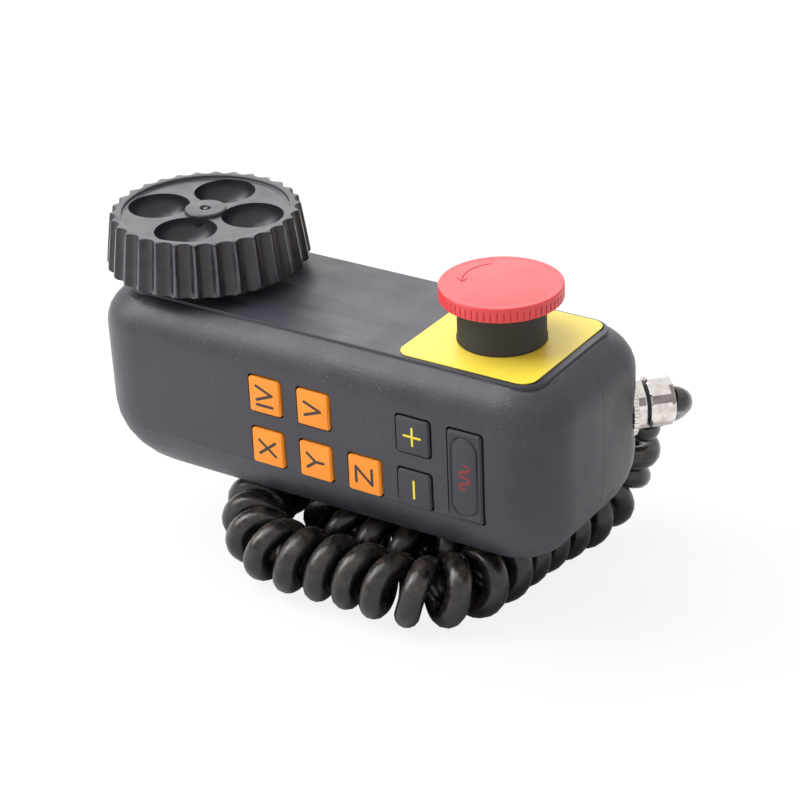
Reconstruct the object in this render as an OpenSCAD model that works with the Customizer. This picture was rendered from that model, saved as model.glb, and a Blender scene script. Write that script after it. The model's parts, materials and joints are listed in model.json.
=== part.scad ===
// Handwheel pendant for jogging a machine's axes: a two-shell housing with a pulse generator and its
// handwheel at one end, a mushroom emergency stop at the other, eight axis and direction keys on the
// front, a metal cable gland on a rear corner and a curly cord that the unit rests on.
// Frame: +X towards the emergency stop, -Y towards the key face, +Z out of the handwheel face.
// The origin is the centre of the box round everything except the cord and what is on it.

/* [Housing] */
// Length of the housing, along X
body_l = 181.25; // [170:0.25:200]
// Depth of the housing from key face to rear face
body_w = 73; // [68:0.5:80]
// Height of the housing from its base to the top panel
body_h = 70; // [64:0.5:76]
// Radius of the four upright corners
corner_r = 19.2; // [16:0.2:22]
// Radius of the edges round the top panel
top_r = 14; // [12:0.5:16]
// Radius of the edges round the base
bottom_r = 27; // [20:0.5:28]
// Wall thickness of the two shells
wall = 2.6; // [2.2:0.1:3.2]
// Diameter of the shell screws
shell_screw_d = 3.5; // [3:0.1:4]
// Length of the shell screws
shell_screw_l = 20; // [18:1:24]
// Depth of the wells that take their heads, from the rear face
screw_well = 26.5; // [24:0.5:28]
// Outside diameter of the screw bosses in the shells
boss_d = 10; // [9:0.1:10]
// Distance from the housing's right end to the boss next to it
boss_inset = 9; // [8.5:0.5:10]

/* [Top panel] */
// Distance from the housing's side to the panel's edge
panel_inset = 9.6; // [9:0.1:11]
// Thickness of the panel
panel_t = 3; // [2.5:0.1:4]
// Thickness of the ledge that carries the panel
ledge_t = 2.5; // [2:0.1:3]
// Width of the ledge
ledge_w = 3; // [2.5:0.1:4]
// Diameter of the panel's countersunk screws
panel_screw_d = 3; // [2.5:0.1:3.5]
// Length of the panel's screws
panel_screw_l = 6.6; // [6:0.1:7]

/* [Emergency stop] */
// Distance from the housing's right end to the axis of the emergency stop
estop_inset = 37.25; // [35:0.25:42]
// Diameter of the mushroom head
head_d = 40; // [36:0.5:42]
// Height of the head's top above the panel
head_top = 20.3; // [19:0.1:24]
// Thickness of the head, skirt included
head_t = 4.9; // [4.5:0.1:6]
// Outside diameter of the black collar
collar_d = 29.8; // [28:0.1:31]
// Height of the collar above the panel
collar_h = 11.1; // [10:0.1:11.1]
// Diameter of the threaded bush, and of the hole in the panel
bush_d = 22.3; // [20:0.1:23]
// Diameter of the plunger that carries the head
plunger_d = 9.9; // [8:0.1:11]
// Travel of the head to its latched position
head_travel = 4; // [3:0.1:4.2]
// Length of the yellow plate, along X
plate_w = 50; // [46:0.5:51]
// Depth of the yellow plate, along Y
plate_d = 51.4; // [46:0.2:52]
// Thickness of the yellow plate
plate_t = 0.4; // [0.3:0.1:1.2]
// Corner radius of the yellow plate
plate_r = 5; // [3:0.5:8]
// Height of the contact block
contact_h = 30; // [26:0.5:34]

/* [Handwheel] */
// Distance from the housing's left end to the wheel's axis
wheel_inset = 26; // [24:0.25:28]
// Diameter of the wheel at its lower rim
wheel_d = 70.5; // [66:0.5:72]
// Diameter of the wheel at its upper rim
wheel_top_d = 66.2; // [62:0.2:68]
// Height of the wheel's top above the panel
wheel_top = 22; // [20:0.1:24]
// Gap between the wheel's rim and the panel
wheel_gap = 5; // [4:0.1:6]
// Diameter of the recessed face of the wheel
face_d = 56.6; // [54:0.2:58]
// Depth of the recessed face
face_depth = 1.1; // [0.8:0.1:2]
// Number of flutes round the rim
flutes = 30; // [24:1:36]
// Diameter of the cutter that makes the flutes
flute_d = 6.6; // [5.5:0.1:7]
// Depth of each flute
flute_depth = 1.5; // [1:0.1:1.8]
// Diameter of the finger bowls at the face
bowl_d = 21.5; // [19:0.1:22]
// Distance from the wheel's axis to the middle of a bowl
bowl_at = 16.5; // [15.5:0.1:17]
// Diameter of the raised centre boss
hub_boss_d = 14.6; // [13:0.1:16]
// Wall of the wheel's rim, face and bowls
wheel_wall = 1.8; // [1.6:0.1:2.2]

/* [Pulse generator] */
// Diameter of the shaft
shaft_d = 10; // [8:0.5:10]
// Outside diameter of the bearings
bearing_d = 19; // [18:0.5:20]
// Width of each bearing
bearing_w = 5; // [4:0.5:6]
// Outside diameter of the can
can_d = 38; // [35:0.5:40]
// Depth of the can below its cover
can_h = 31; // [30:0.5:36]
// Diameter of the flange under the panel
flange_d = 36; // [34:0.5:37]
// Thickness of the flange
flange_t = 3; // [2.5:0.1:4]
// Diameter of the screws that hold the flange to the panel
flange_screw_d = 3; // [2.5:0.1:3.5]

/* [Keys] */
// Middle of the first key column, left of the housing's middle
key_from_mid = 16.625; // [15:0.125:18]
// Middle of the upper key row, below the panel
key_below_top = 21.8; // [21:0.1:24]
// Pitch of the keys, in both directions
key_pitch = 19.35; // [18.5:0.05:20]
// Width of a key cap, along X
cap_w = 13; // [12:0.1:14]
// Height of a key cap, along Z
cap_h = 13.4; // [12:0.1:14]
// Corner radius of a key cap
cap_r = 1.2; // [0.8:0.1:2]
// How far the caps stand out of the housing
cap_proud = 0.7; // [0.5:0.1:1.2]
// Travel of a key
key_travel = 1; // [0.6:0.1:1.2]
// Gap round each key cap
key_gap = 0.35; // [0.3:0.05:0.5]
// Thickness of the flange that keeps a cap in its hole
cap_flange_t = 1; // [0.8:0.1:1.4]
// Height of the key switches
switch_h = 4; // [3.5:0.1:5]
// Side of a key switch
switch_w = 6; // [5:0.1:7]

/* [Circuit board] */
// Thickness of the key circuit board
board_t = 1.6; // [1:0.1:2]
// Diameter of the board's screws
board_screw_d = 2.5; // [2:0.1:3]

/* [Holding magnets] */
// Diameter of the pot magnets in the rear face
magnet_d = 20; // [16:0.5:25]
// Height of the magnets
magnet_t = 6; // [5:0.5:7]
// How far the magnets stand out of the rear face
magnet_proud = 0.5; // [0.3:0.1:1]
// Distance between the two magnets
magnet_pitch = 100; // [90:1:110]

/* [Cable gland] */
// Height of the gland's axis below the panel
gland_below_top = 30.3; // [28:0.1:34]
// Depth of the flat seat cut into the rounded corner
seat_depth = 2.7; // [2:0.1:3]
// Diameter of the seat
seat_d = 23; // [22:0.5:25]
// Diameter of the gland's thread, and of its hole
gland_d = 15.2; // [14:0.1:16]
// Width across flats of the gland's hexagons
gland_af = 17; // [16:0.5:19]
// Outside diameter of the toothed washer
washer_d = 21.4; // [20:0.1:22]
// Thickness of the toothed washer
washer_t = 2; // [1:0.1:2.2]
// Thickness of the gland body's hexagon
gland_hex_t = 2.5; // [2:0.1:4]
// Length of the gap between hexagon and dome nut
gland_neck = 1.5; // [1:0.1:2]
// Length of the dome nut
dome_l = 10.5; // [9:0.1:12]

/* [Cord] */
// Diameter of the cord's sheath
cord_d = 8.8; // [8:0.1:9]
// Outside diameter of the curly part
curl_d = 25; // [25:1:25]

/* [Plug] */
// Outside diameter of the plug's front thread
plug_thread_d = 23; // [20:0.5:24]
// Length of the plug's front thread
plug_thread_l = 9; // [8:0.5:12]
// Outside diameter of the plug's grip
plug_grip_d = 26; // [25:0.5:28]
// Length of the plug's grip
plug_grip_l = 22; // [18:0.5:26]
// Number of contacts in the plug's outer ring
plug_contacts = 9; // [6:1:10]

/* [Hidden] */
$fn = 64;

eps = 0.01;              // overlap that keeps cuts clean
gap = 0.3;               // clearance between parts that only lie near each other
fit = 0.05;              // radial clearance of a running fit
seat = 0.02;             // gap between faces that rest on each other

// Places along X and Z, from the box round the housing and the wheel
wheel_over = max(0, wheel_d / 2 - wheel_inset);   // how far the wheel overhangs the housing's end
total_l = body_l + wheel_over;
total_h = body_h + wheel_top;
right_x = total_l / 2;
left_x = right_x - body_l;
mid_x = (left_x + right_x) / 2;
top_z = total_h / 2 - wheel_top;
base_z = top_z - body_h;
estop_x = right_x - estop_inset;
wheel_x = left_x + wheel_inset;
face_y = -body_w / 2;                              // key face
rear_y = body_w / 2;

// Housing
cavity_top = panel_t + ledge_t;                    // depth of the cavity's roof below the panel
slices = 8;                                        // sections in each rounded edge
arc_steps = 11;                                    // facets round an upright corner
panel_r = corner_r - panel_inset - 1;
panel_x0 = left_x + panel_inset;
panel_x1 = right_x - panel_inset;
panel_half = body_w / 2 - panel_inset;
panel_screw_in = 6;                                // panel screws, in from the panel's edges
screw_head_d = 1.9 * shell_screw_d;
screw_head_h = 2.2;
screw_seat_y = rear_y - screw_well;                 // where the screws' heads sit
boss_top_z = top_z - cavity_top - boss_d / 2 - 2;
boss_low_z = base_z + bottom_r * 0.4;
boss_xy = [[right_x - boss_inset, boss_top_z], [estop_x - 28, boss_low_z],
    [wheel_x + can_d / 2 + boss_d / 2 + 1.5, boss_top_z], [left_x + 22, boss_low_z]];
panel_boss_h = 5;                                  // panel screw bosses below the ledge's top

// Emergency stop
plate_top = top_z + plate_t;
head_z1 = top_z + head_top;
head_z0 = head_z1 - head_t;
head_roof = head_z1 - 2.4;                         // ceiling inside the hollow head
head_bore = collar_d / 2 + 1.4;
bush_l = 14;                                       // bush below the panel's top
nut_h = 4.5;
nut_d = bush_d + 6.5;
spring_floor = top_z - 2;
spring_d = 16;
spring_wire = 1.2;
spring_turns = 6;
chamber_d = spring_d + 2 * spring_wire + 1.2;
plunger_foot = top_z - bush_l - 2;
contact_w = 30;
contact_d = 28;
contact_z1 = top_z - bush_l - gap;

// Handwheel
wheel_z1 = top_z + wheel_top;
wheel_z0 = top_z + wheel_gap;
rim_h = wheel_z1 - wheel_z0;
face_z = wheel_z1 - face_depth;
rim_lean = atan((wheel_d - wheel_top_d) / 2 / rim_h);
bowls = 4;
bowl_turn = 14;                                    // plan angle of the first bowl
bowl_r = bowl_d / 2;
hub_d = 18;
hub_z0 = top_z + 1;
rim_wall = flute_depth + wheel_wall + 0.6;
hub_screw_d = 3;
shaft_top = wheel_z1 - 5;

// Pulse generator
flange_z1 = top_z - panel_t;
flange_z0 = flange_z1 - flange_t;
pilot_d = bearing_d + 3.5;
pilot_top = top_z + 0.4;
bearing_gap = 7;
barrel_z0 = pilot_top - 0.8 - 2 * bearing_w - bearing_gap - 1.5;
barrel_d = bearing_d + 4;
disc_z = barrel_z0 - 3;
disc_t = 1;
sensor_gap = 0.6;
sensor_h = 3;
sensor_l = 6.4;
enc_board_z = disc_z - sensor_gap - sensor_h;
cover_t = 2;
can_z1 = flange_z0 - cover_t;
can_z0 = can_z1 - can_h;
can_wall = 1.5;
disc_d = can_d - 2 * can_wall - 2;                 // code disc, a millimetre clear of the can
flange_screws_at = flange_d / 2 - 3.5;

// Keys: name, column, row, and rows spanned
key_x0 = mid_x - key_from_mid;
key_z0 = top_z - key_below_top;
inner_y = face_y + wall;                           // inside of the front wall
flange_y = inner_y + 0.05;
switch_y = flange_y + cap_flange_t + key_travel + 1.2;
board_y = switch_y + switch_h;
stem_d = 3.2;
stem_in = 2;                                       // stem inside its switch
lip = 0.9;                                         // flange beyond the cap, all round
board_mid_z = key_z0 - key_pitch / 2;
post_d = 6;
post_out = cap_w / 2 + lip + post_d / 2 + gap;     // end posts, beyond the outer columns
post_xz = [[key_x0 - post_out, board_mid_z], [key_x0 + 2 * key_pitch, key_z0],
    [key_x0 + 4 * key_pitch + post_out, board_mid_z]];
board_x0 = key_x0 - post_out - post_d / 2 - 0.6;
board_x1 = key_x0 + 4 * key_pitch + post_out + post_d / 2 + 0.6;
board_z0 = key_z0 - key_pitch - switch_w / 2 - 1;
board_z1 = boss_top_z - boss_d / 2 - gap;          // the board passes under the upper bosses
board_screw_l = 7;

// Gland, in its own frame: +Z is the axis, out of the corner
gland_z = top_z - gland_below_top;
arc_x = right_x - corner_r;
arc_y = rear_y - corner_r;
gland_seat = corner_r - seat_depth;
pad_t = wall + 1.4;                                // wall under the gland
lock_t = 3;
hex_z0 = gland_seat + washer_t;
neck_z0 = hex_z0 + gland_hex_t;
dome_z0 = neck_z0 + gland_neck;
dome_z1 = dome_z0 + dome_l;
gland_bore = cord_d + 1;
dome_lip = 1.2;
seal_d = gland_bore + 3.4;

// Cord: the floor lies a curl and a little under the base
floor_z = -46.3 - curl_d;
curl_z = floor_z + curl_d / 2;
curl_sides = 12;
curl_ring_r = curl_d / 2 / cos(180 / curl_sides);
cord_sides = 8;
// Straight lead from the gland to the curl
lead_path = [[98.7, 39.95, -6.3], [100.7, 42.2, -6.4], [101.4, 45, -7], [100.6, 48, -8.6],
    [98, 50.4, -11.4], [94, 51.6, -15.2], [89.5, 52.3, -19.4], [84, 53, -24]];
// Middle line of the curl: down from the gland, under the right end, along the front, back under the
// left end, round a loop and out behind the housing
curl_path = [[84, 53, -24], [80, 55.8, -30], [76.6, 58.2, -37], [74.2, 58.6, -44], [72.6, 56, -51],
    [71.4, 50, -56.4], [70.6, 42, -58.8], [69.6, 32, -58.8], [68.5, 21, -58.8], [67.4, 10, -58.8],
    [66, -2, -58.8], [64, -13, -58.8], [60, -21.8, -58.8], [54, -29, -58.8], [46, -33.6, -58.8],
    [36, -35.4, -58.8], [24, -35.2, -58.8], [12, -35.6, -58.8], [0, -37, -58.8], [-11, -36.4, -58.8],
    [-21, -31.4, -58.8], [-29.5, -22.5, -58.8], [-37, -11, -58.8], [-44, 1, -58.8],
    [-49.5, 13, -58.8], [-50, 25.6, -58.8], [-42, 35, -58.8], [-29.5, 36.4, -58.8],
    [-19.5, 29.2, -58.8], [-14, 18, -58.8], [-8, 6, -58.8], [1, -4, -58.8], [13, -7.5, -58.8], [25, -6, -58.8],
    [35.4, 0, -58.8], [40.4, 11, -58.8], [37, 24, -58.8], [27, 33, -58.8], [15, 41, -58.8],
    [2, 49, -58.8], [-13, 57.5, -58.8], [-28, 65, -58.8]];
// Straight tail from the curl to the plug
tail_path = [[-28, 65, -58.8], [-34, 67.1, -58.6], [-40, 68, -58.2], [-46, 68, -58.2]];

// Plug, lying on the floor, its axis along -X
plug_x0 = tail_path[3][0];
plug_y = tail_path[3][1];
plug_z = tail_path[3][2];
plug_nut_l = 12;
plug_nut_d = 17;

// ---------------------------------------------------------------- shared shapes

// Box on the two corners given
module span(a, b) {
    translate(a)
        cube(b - a);
}

// Plate outline in XY from two rectangles and four circles, so its corners are true arcs
module round_plate(x0, x1, y0, y1, r) {
    translate([x0 + r, y0])
        square([x1 - x0 - 2 * r, y1 - y0]);
    translate([x0, y0 + r])
        square([x1 - x0, y1 - y0 - 2 * r]);
    for (x = [x0 + r, x1 - r], y = [y0 + r, y1 - r])
        translate([x, y])
            circle(r = r);
}

// Housing form: rounded rectangles whose inset follows a quarter circle at the top and at the base,
// shrunk by `in` on all sides and by `roof` at the top, joined as one closed surface
function outline(s, r, z) = [for (c = [0:3], k = [0:arc_steps])
    let (a = 90 * c + 90 * k / arc_steps, x = c == 0 || c == 3 ? right_x - s - r : left_x + s + r,
        y = c < 2 ? rear_y - s - r : face_y + s + r)
            [x + r * cos(a), y + r * sin(a), z]];
module body_form(in = 0, roof = 0) {
    rt = max(top_r - roof * 0.6 - in * 0.4, 4);
    rb = bottom_r - in;
    rc = corner_r - in;
    n = 4 * (arc_steps + 1);
    levels = concat(
        [for (i = [0:slices]) let (a = 90 * i / slices)
            [base_z + in + rb * (1 - sin(a)), rb * (1 - cos(a))]],
        [for (i = [0:slices]) let (a = 90 * i / slices)
            [top_z - roof - rt * (1 - sin(a)), rt * (1 - cos(a))]]);
    low = [for (i = [slices:-1:0]) levels[i]];
    high = [for (i = [slices + 1:2 * slices + 1]) levels[i]];
    all = concat(low, high);
    m = len(all);
    polyhedron(
        points = [for (l = all, p = outline(in + l[1], max(rc - 0.6 * l[1], 2), l[0])) p],
        faces = concat(
            [[for (k = [0:n - 1]) k]],
            [[for (k = [n - 1:-1:0]) (m - 1) * n + k]],
            [for (i = [0:m - 2], k = [0:n - 1])
                [i * n + k, (i + 1) * n + k, (i + 1) * n + (k + 1) % n]],
            [for (i = [0:m - 2], k = [0:n - 1])
                [i * n + k, (i + 1) * n + (k + 1) % n, i * n + (k + 1) % n]]));
}

// Screw with a cylindrical head, pointing along -Z, its head on the origin
module cap_screw(d, l, head_d, head_h) {
    translate([0, 0, -l])
        cylinder(d = d, h = l + eps);
    difference() {
        cylinder(d = head_d, h = head_h);
        translate([0, 0, head_h - 0.5 * head_h])
            cylinder(d = d, h = head_h, $fn = 6);
    }
}

// Countersunk screw pointing along -Z, its flat head's top on the origin
module flat_screw(d, l) {
    difference() {
        union() {
            translate([0, 0, -d / 2])
                cylinder(d1 = d, d2 = 2 * d, h = d / 2);
            translate([0, 0, -l])
                cylinder(d = d, h = l - d / 2 + eps);
        }
        translate([0, 0, -0.9])
            cylinder(d = d * 0.6, h = 2, $fn = 6);
    }
}

// Sweep of a round section along points, as one closed polyhedron. Its sides are carried along the
// points from the last one, where they lie level, so the rings never twist against each other
function unit(v) = v / norm(v);
function heading(p, i) = unit(p[min(i + 1, len(p) - 1)] - p[max(i - 1, 0)]);
function across(v, t) = unit(v - (v * t) * t);
function carried(p, i, v) = i < 0 ? [] :
    let (w = across(v, heading(p, i))) concat(carried(p, i - 1, w), [w]);
function ring(c, t, s, r, sides) =
    let (u = cross(s, t))
        [for (k = [0:sides - 1]) let (a = 360 * (k + 0.5) / sides) c + r * (cos(a) * s + sin(a) * u)];
function blend_point(a, b, c, d, t) = 0.5 * ((2 * b) + (c - a) * t + (2 * a - 5 * b + 4 * c - d) * t * t
    + (3 * b - a - 3 * c + d) * t * t * t);
function smooth_path(p, steps) = concat(
    [for (i = [0:len(p) - 2], k = [0:steps - 1])
        blend_point(p[max(i - 1, 0)], p[i], p[i + 1], p[min(i + 2, len(p) - 1)], k / steps)],
    [p[len(p) - 1]]);
module sweep(points, r, sides) {
    n = len(points);
    s = carried(points, n - 1, unit(cross(heading(points, n - 1), [0, 0.001, 1])));
    rings = [for (i = [0:n - 1]) ring(points[i], heading(points, i), s[i], r, sides)];
    polyhedron(
        points = [for (g = rings, p = g) p],
        faces = concat(
            [[for (k = [0:sides - 1]) k]],
            [[for (k = [sides - 1:-1:0]) (n - 1) * sides + k]],
            [for (i = [0:n - 2], k = [0:sides - 1])
                [i * sides + k, (i + 1) * sides + k, (i + 1) * sides + (k + 1) % sides]],
            [for (i = [0:n - 2], k = [0:sides - 1])
                [i * sides + k, (i + 1) * sides + (k + 1) % sides, i * sides + (k + 1) % sides]]));
}

// Puts what follows on the gland's axis
module on_gland() {
    translate([arc_x, arc_y, gland_z])
        rotate([0, 0, 45])
            rotate([0, 90, 0])
                children();
}

// Puts what follows on the plug's axis, which runs along -X from the cord's end
module on_plug() {
    translate([plug_x0, plug_y, plug_z])
        rotate([0, -90, 0])
            children();
}

// ---------------------------------------------------------------- housing

// Hollow housing with the openings in its top and rear corner, before it is parted at y = 0
module housing() {
    difference() {
        body_form();
        difference() {
            body_form(in = wall, roof = cavity_top);
            on_gland()
                translate([0, 0, gland_seat - pad_t])
                    cylinder(d = seat_d + 4, h = 20);
        }
        // seat of the top panel, and the opening inside its ledge
        translate([0, 0, top_z - panel_t])
            linear_extrude(panel_t + 1)
                round_plate(panel_x0 - seat * 5, panel_x1 + seat * 5, -panel_half - seat * 5,
                    panel_half + seat * 5, panel_r);
        translate([0, 0, top_z - cavity_top - 3])
            linear_extrude(cavity_top + 3)
                difference() {
                    round_plate(panel_x0 + ledge_w, panel_x1 - ledge_w, -panel_half + ledge_w,
                        panel_half - ledge_w, panel_r - ledge_w);
                    for (p = panel_screw_places())
                        translate(p)
                            circle(r = 4.5);
                }
        on_gland() {
            translate([0, 0, gland_seat])
                cylinder(d = seat_d, h = 20);
            translate([0, 0, gland_seat - pad_t - 5])
                cylinder(d = gland_d + 2 * fit, h = 20);
        }
    }
}

// Room for the pulse generator under the panel, cut from both shells and their bosses
module generator_room() {
    translate([wheel_x, 0, flange_z0 - gap])
        cylinder(d = flange_d + 2 * gap, h = panel_t + flange_t + 1);
    translate([wheel_x, 0, can_z0])
        cylinder(d = can_d + 2 * gap, h = flange_z0 - can_z0 + gap);
}

function panel_screw_places() = [for (x = [panel_x0 + panel_screw_in, panel_x1 - panel_screw_in],
    y = [-1, 1]) [x, y * (panel_half - panel_screw_in)]];

// Bosses of the panel screws on one side, s = -1 front or 1 rear
module panel_bosses(s) {
    for (p = panel_screw_places())
        if (p[1] * s > 0)
            translate([p[0], p[1], top_z - panel_t - panel_boss_h])
                cylinder(r = 4.5, h = panel_boss_h);
}

// Pilot holes of the panel screws
module panel_pilots() {
    for (p = panel_screw_places())
        translate([p[0], p[1], top_z - panel_t - panel_boss_h + 0.8])
            cylinder(d = panel_screw_d + 2 * seat, h = panel_boss_h + 4);
}

// Cap outline of a key, in XZ, grown by g
module key_outline(rows, g) {
    r = cap_r + g;
    h = cap_h + (rows - 1) * key_pitch;
    round_plate(-cap_w / 2 - g, cap_w / 2 + g, -h / 2 - g, h / 2 + g, r);
}

// Puts what follows at a key's place: +Z of the child points out of the key face
module at_key(column, row, rows = 1) {
    translate([key_x0 + column * key_pitch, face_y, key_z0 - (row + (rows - 1) / 2) * key_pitch])
        rotate([90, 0, 0])
            children();
}

KEYS = [["key_iv", 0, 0, 1], ["key_v", 1, 0, 1], ["key_x", 0, 1, 1], ["key_y", 1, 1, 1],
    ["key_z", 2, 1, 1], ["key_plus", 3, 0, 1], ["key_minus", 3, 1, 1], ["key_rapid", 4, 0, 2]];

module front_shell() {
    color("dimgray")
        difference() {
            union() {
                difference() {
                    intersection() {
                        housing();
                        span([left_x - 1, face_y - 1, base_z - 1], [right_x + 1, 0, top_z + 1]);
                    }
                    // flat seat behind the keys
                    span([key_x0 - cap_w / 2 - 2, inner_y, key_z0 - key_pitch - cap_h / 2 - 2],
                        [key_x0 + 4 * key_pitch + cap_w / 2 + 2, inner_y + 8, key_z0 + cap_h / 2 + 2]);
                }
                intersection() {
                    body_form(in = wall / 2, roof = panel_t + seat);
                    union() {
                        panel_bosses(-1);
                        for (p = boss_xy)
                            translate([p[0], -seat, p[1]])
                                rotate([90, 0, 0])
                                    cylinder(d = boss_d, h = body_w / 2);
                        for (p = post_xz)
                            translate([p[0], board_y, p[1]])
                                rotate([90, 0, 0])
                                    cylinder(d = post_d, h = board_y - face_y);
                    }
                }
            }
            for (p = boss_xy)
                translate([p[0], 1, p[1]])
                    rotate([90, 0, 0])
                        cylinder(d = shell_screw_d - 0.4, h = shell_screw_l - screw_seat_y + 4);
            for (p = post_xz)
                translate([p[0], board_y + 1, p[1]])
                    rotate([90, 0, 0])
                        cylinder(d = board_screw_d, h = board_screw_l - board_t + 1.5);
            generator_room();
            panel_pilots();
            for (k = KEYS)
                at_key(k[1], k[2], k[3])
                    translate([0, 0, -wall - 3])
                        linear_extrude(wall + 5)
                            key_outline(k[3], key_gap);
        }
}

module rear_shell() {
    color("dimgray")
        difference() {
            union() {
                intersection() {
                    housing();
                    span([left_x - 1, 0, base_z - 1], [right_x + 1, rear_y + 1, top_z + 1]);
                }
                intersection() {
                    body_form(in = wall / 2, roof = panel_t + seat);
                    union() {
                        panel_bosses(1);
                        for (p = boss_xy)
                            translate([p[0], body_w / 2, p[1]])
                                rotate([90, 0, 0])
                                    cylinder(d = boss_d, h = body_w / 2);
                        for (s = [-1, 1])
                            translate([mid_x + s * magnet_pitch / 2, rear_y, gland_z])
                                rotate([90, 0, 0])
                                    cylinder(d = magnet_d + 5, h = magnet_t + 1.5);
                    }
                }
            }
            for (p = boss_xy)
                translate([p[0], rear_y + 1, p[1]])
                    rotate([90, 0, 0]) {
                        cylinder(d = shell_screw_d + 0.4, h = body_w / 2 + 2);
                        cylinder(d = screw_head_d + 0.6, h = screw_well + 1);
                    }
            generator_room();
            panel_pilots();
            for (s = [-1, 1])
                translate([mid_x + s * magnet_pitch / 2, rear_y + 1, gland_z])
                    rotate([90, 0, 0])
                        cylinder(d = magnet_d + 2 * fit, h = magnet_t - magnet_proud + 1);
        }
}

module shell_screws() {
    color("silver")
        for (p = boss_xy)
            translate([p[0], screw_seat_y + seat, p[1]])
                rotate([-90, 0, 0])
                    cap_screw(shell_screw_d - 0.6, shell_screw_l, screw_head_d, screw_head_h);
}

module holding_magnets() {
    color("silver")
        for (s = [-1, 1])
            translate([mid_x + s * magnet_pitch / 2, rear_y - magnet_t + magnet_proud + seat, gland_z])
                rotate([-90, 0, 0])
                    difference() {
                        cylinder(d = magnet_d, h = magnet_t - seat);
                        translate([0, 0, magnet_t - 0.6])
                            difference() {
                                cylinder(d = magnet_d - 3, h = 2);
                                translate([0, 0, -1])
                                    cylinder(d = magnet_d - 5, h = 4);
                            }
                    }
}

// ---------------------------------------------------------------- top panel

module top_panel() {
    bevel = 0.4;
    color("dimgray")
        difference() {
            union() {
                translate([0, 0, top_z - panel_t + seat])
                    linear_extrude(panel_t - seat - bevel)
                        round_plate(panel_x0, panel_x1, -panel_half, panel_half, panel_r);
                translate([0, 0, top_z - bevel])
                    linear_extrude(bevel)
                        round_plate(panel_x0 + bevel / 2, panel_x1 - bevel / 2, -panel_half + bevel / 2,
                            panel_half - bevel / 2, panel_r - bevel / 2);
            }
            translate([estop_x, 0, top_z - panel_t - 1])
                cylinder(d = bush_d + 0.2, h = panel_t + 2);
            translate([wheel_x, 0, top_z - panel_t - 1])
                cylinder(d = pilot_d + 0.2, h = panel_t + 2);
            for (p = panel_screw_places())
                translate([p[0], p[1], 0]) {
                    translate([0, 0, top_z - panel_t - 1])
                        cylinder(d = panel_screw_d + 0.4, h = panel_t + 2);
                    translate([0, 0, top_z - panel_screw_d / 2 - 0.35])
                        cylinder(d1 = panel_screw_d, d2 = 2 * panel_screw_d + 1.4,
                            h = panel_screw_d / 2 + 0.36);
                }
            for (a = [45:90:315])
                translate([wheel_x, 0, 0])
                    rotate([0, 0, a])
                        translate([flange_screws_at, 0, 0]) {
                            translate([0, 0, top_z - panel_t - 1])
                                cylinder(d = flange_screw_d + 0.4, h = panel_t + 2);
                            translate([0, 0, top_z - flange_screw_d / 2 - 0.35])
                                cylinder(d1 = flange_screw_d, d2 = 2 * flange_screw_d + 1.4,
                                    h = flange_screw_d / 2 + 0.36);
                        }
        }
}

module panel_screws() {
    color("gray")
        for (p = panel_screw_places())
            translate([p[0], p[1], top_z - 0.1])
                flat_screw(panel_screw_d, panel_screw_l);
}

module flange_screws() {
    color("gray")
        for (a = [45:90:315])
            translate([wheel_x, 0, top_z - 0.1])
                rotate([0, 0, a])
                    translate([flange_screws_at, 0, 0])
                        flat_screw(flange_screw_d, panel_t + flange_t + cover_t - 0.6);
}

module warning_plate() {
    color("yellow")
        difference() {
            translate([0, 0, top_z + seat])
                linear_extrude(plate_t - seat)
                    round_plate(estop_x - plate_w / 2, estop_x + plate_w / 2, -plate_d / 2, plate_d / 2,
                        plate_r);
            translate([estop_x, 0, top_z - 1])
                cylinder(d = bush_d + 0.2, h = plate_t + 2);
        }
}

// ---------------------------------------------------------------- emergency stop

module estop_collar() {
    color("#202022")
        translate([estop_x, 0, 0])
            rotate_extrude()
                polygon([[plunger_d / 2 + fit, top_z - bush_l], [bush_d / 2 - 0.1, top_z - bush_l],
                    [bush_d / 2 - 0.1, plate_top + seat], [collar_d / 2, plate_top + seat],
                    [collar_d / 2, plate_top + 1.2], [collar_d / 2 - 0.3, plate_top + 1.6],
                    [collar_d / 2 - 0.3, top_z + collar_h - 0.6], [collar_d / 2 - 0.9, top_z + collar_h],
                    [chamber_d / 2, top_z + collar_h], [chamber_d / 2, spring_floor],
                    [plunger_d / 2 + fit, spring_floor]]);
}

module estop_nut() {
    color("gray")
        translate([estop_x, 0, top_z - panel_t - nut_h])
            difference() {
                cylinder(d = nut_d, h = nut_h - seat);
                translate([0, 0, -1])
                    cylinder(d = bush_d, h = nut_h + 2);
                for (a = [0:45:315])
                    rotate([0, 0, a])
                        translate([nut_d / 2, 0, -1])
                            cylinder(d = 3, h = nut_h + 2);
            }
}

module contact_block() {
    color("#303236")
        translate([estop_x, 0, contact_z1 - contact_h])
            difference() {
                union() {
                    translate([-contact_w / 2, -contact_d / 2, 0])
                        cube([contact_w, contact_d, contact_h - 6]);
                    cylinder(d = 24, h = contact_h);
                }
                translate([0, 0, contact_h - 9])
                    cylinder(d = plunger_d + 2, h = 10);
                for (x = [-1, 1], y = [-1, 1])
                    translate([x * contact_w / 2, y * contact_d / 4, contact_h - 14])
                        rotate([0, 90, 0])
                            cylinder(d = 4, h = 6, center = true);
            }
}

module estop_plunger() {
    color("#b01c24")
        translate([estop_x, 0, 0])
            rotate_extrude()
                polygon([[0, plunger_foot], [plunger_d / 2 - 1, plunger_foot],
                    [plunger_d / 2, plunger_foot + 1], [plunger_d / 2, head_roof - 1.6], [plunger_d / 2 + 1.5, head_roof - 1.6],
                    [plunger_d / 2 + 1.5, head_roof - seat], [0, head_roof - seat]]);
}

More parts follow.
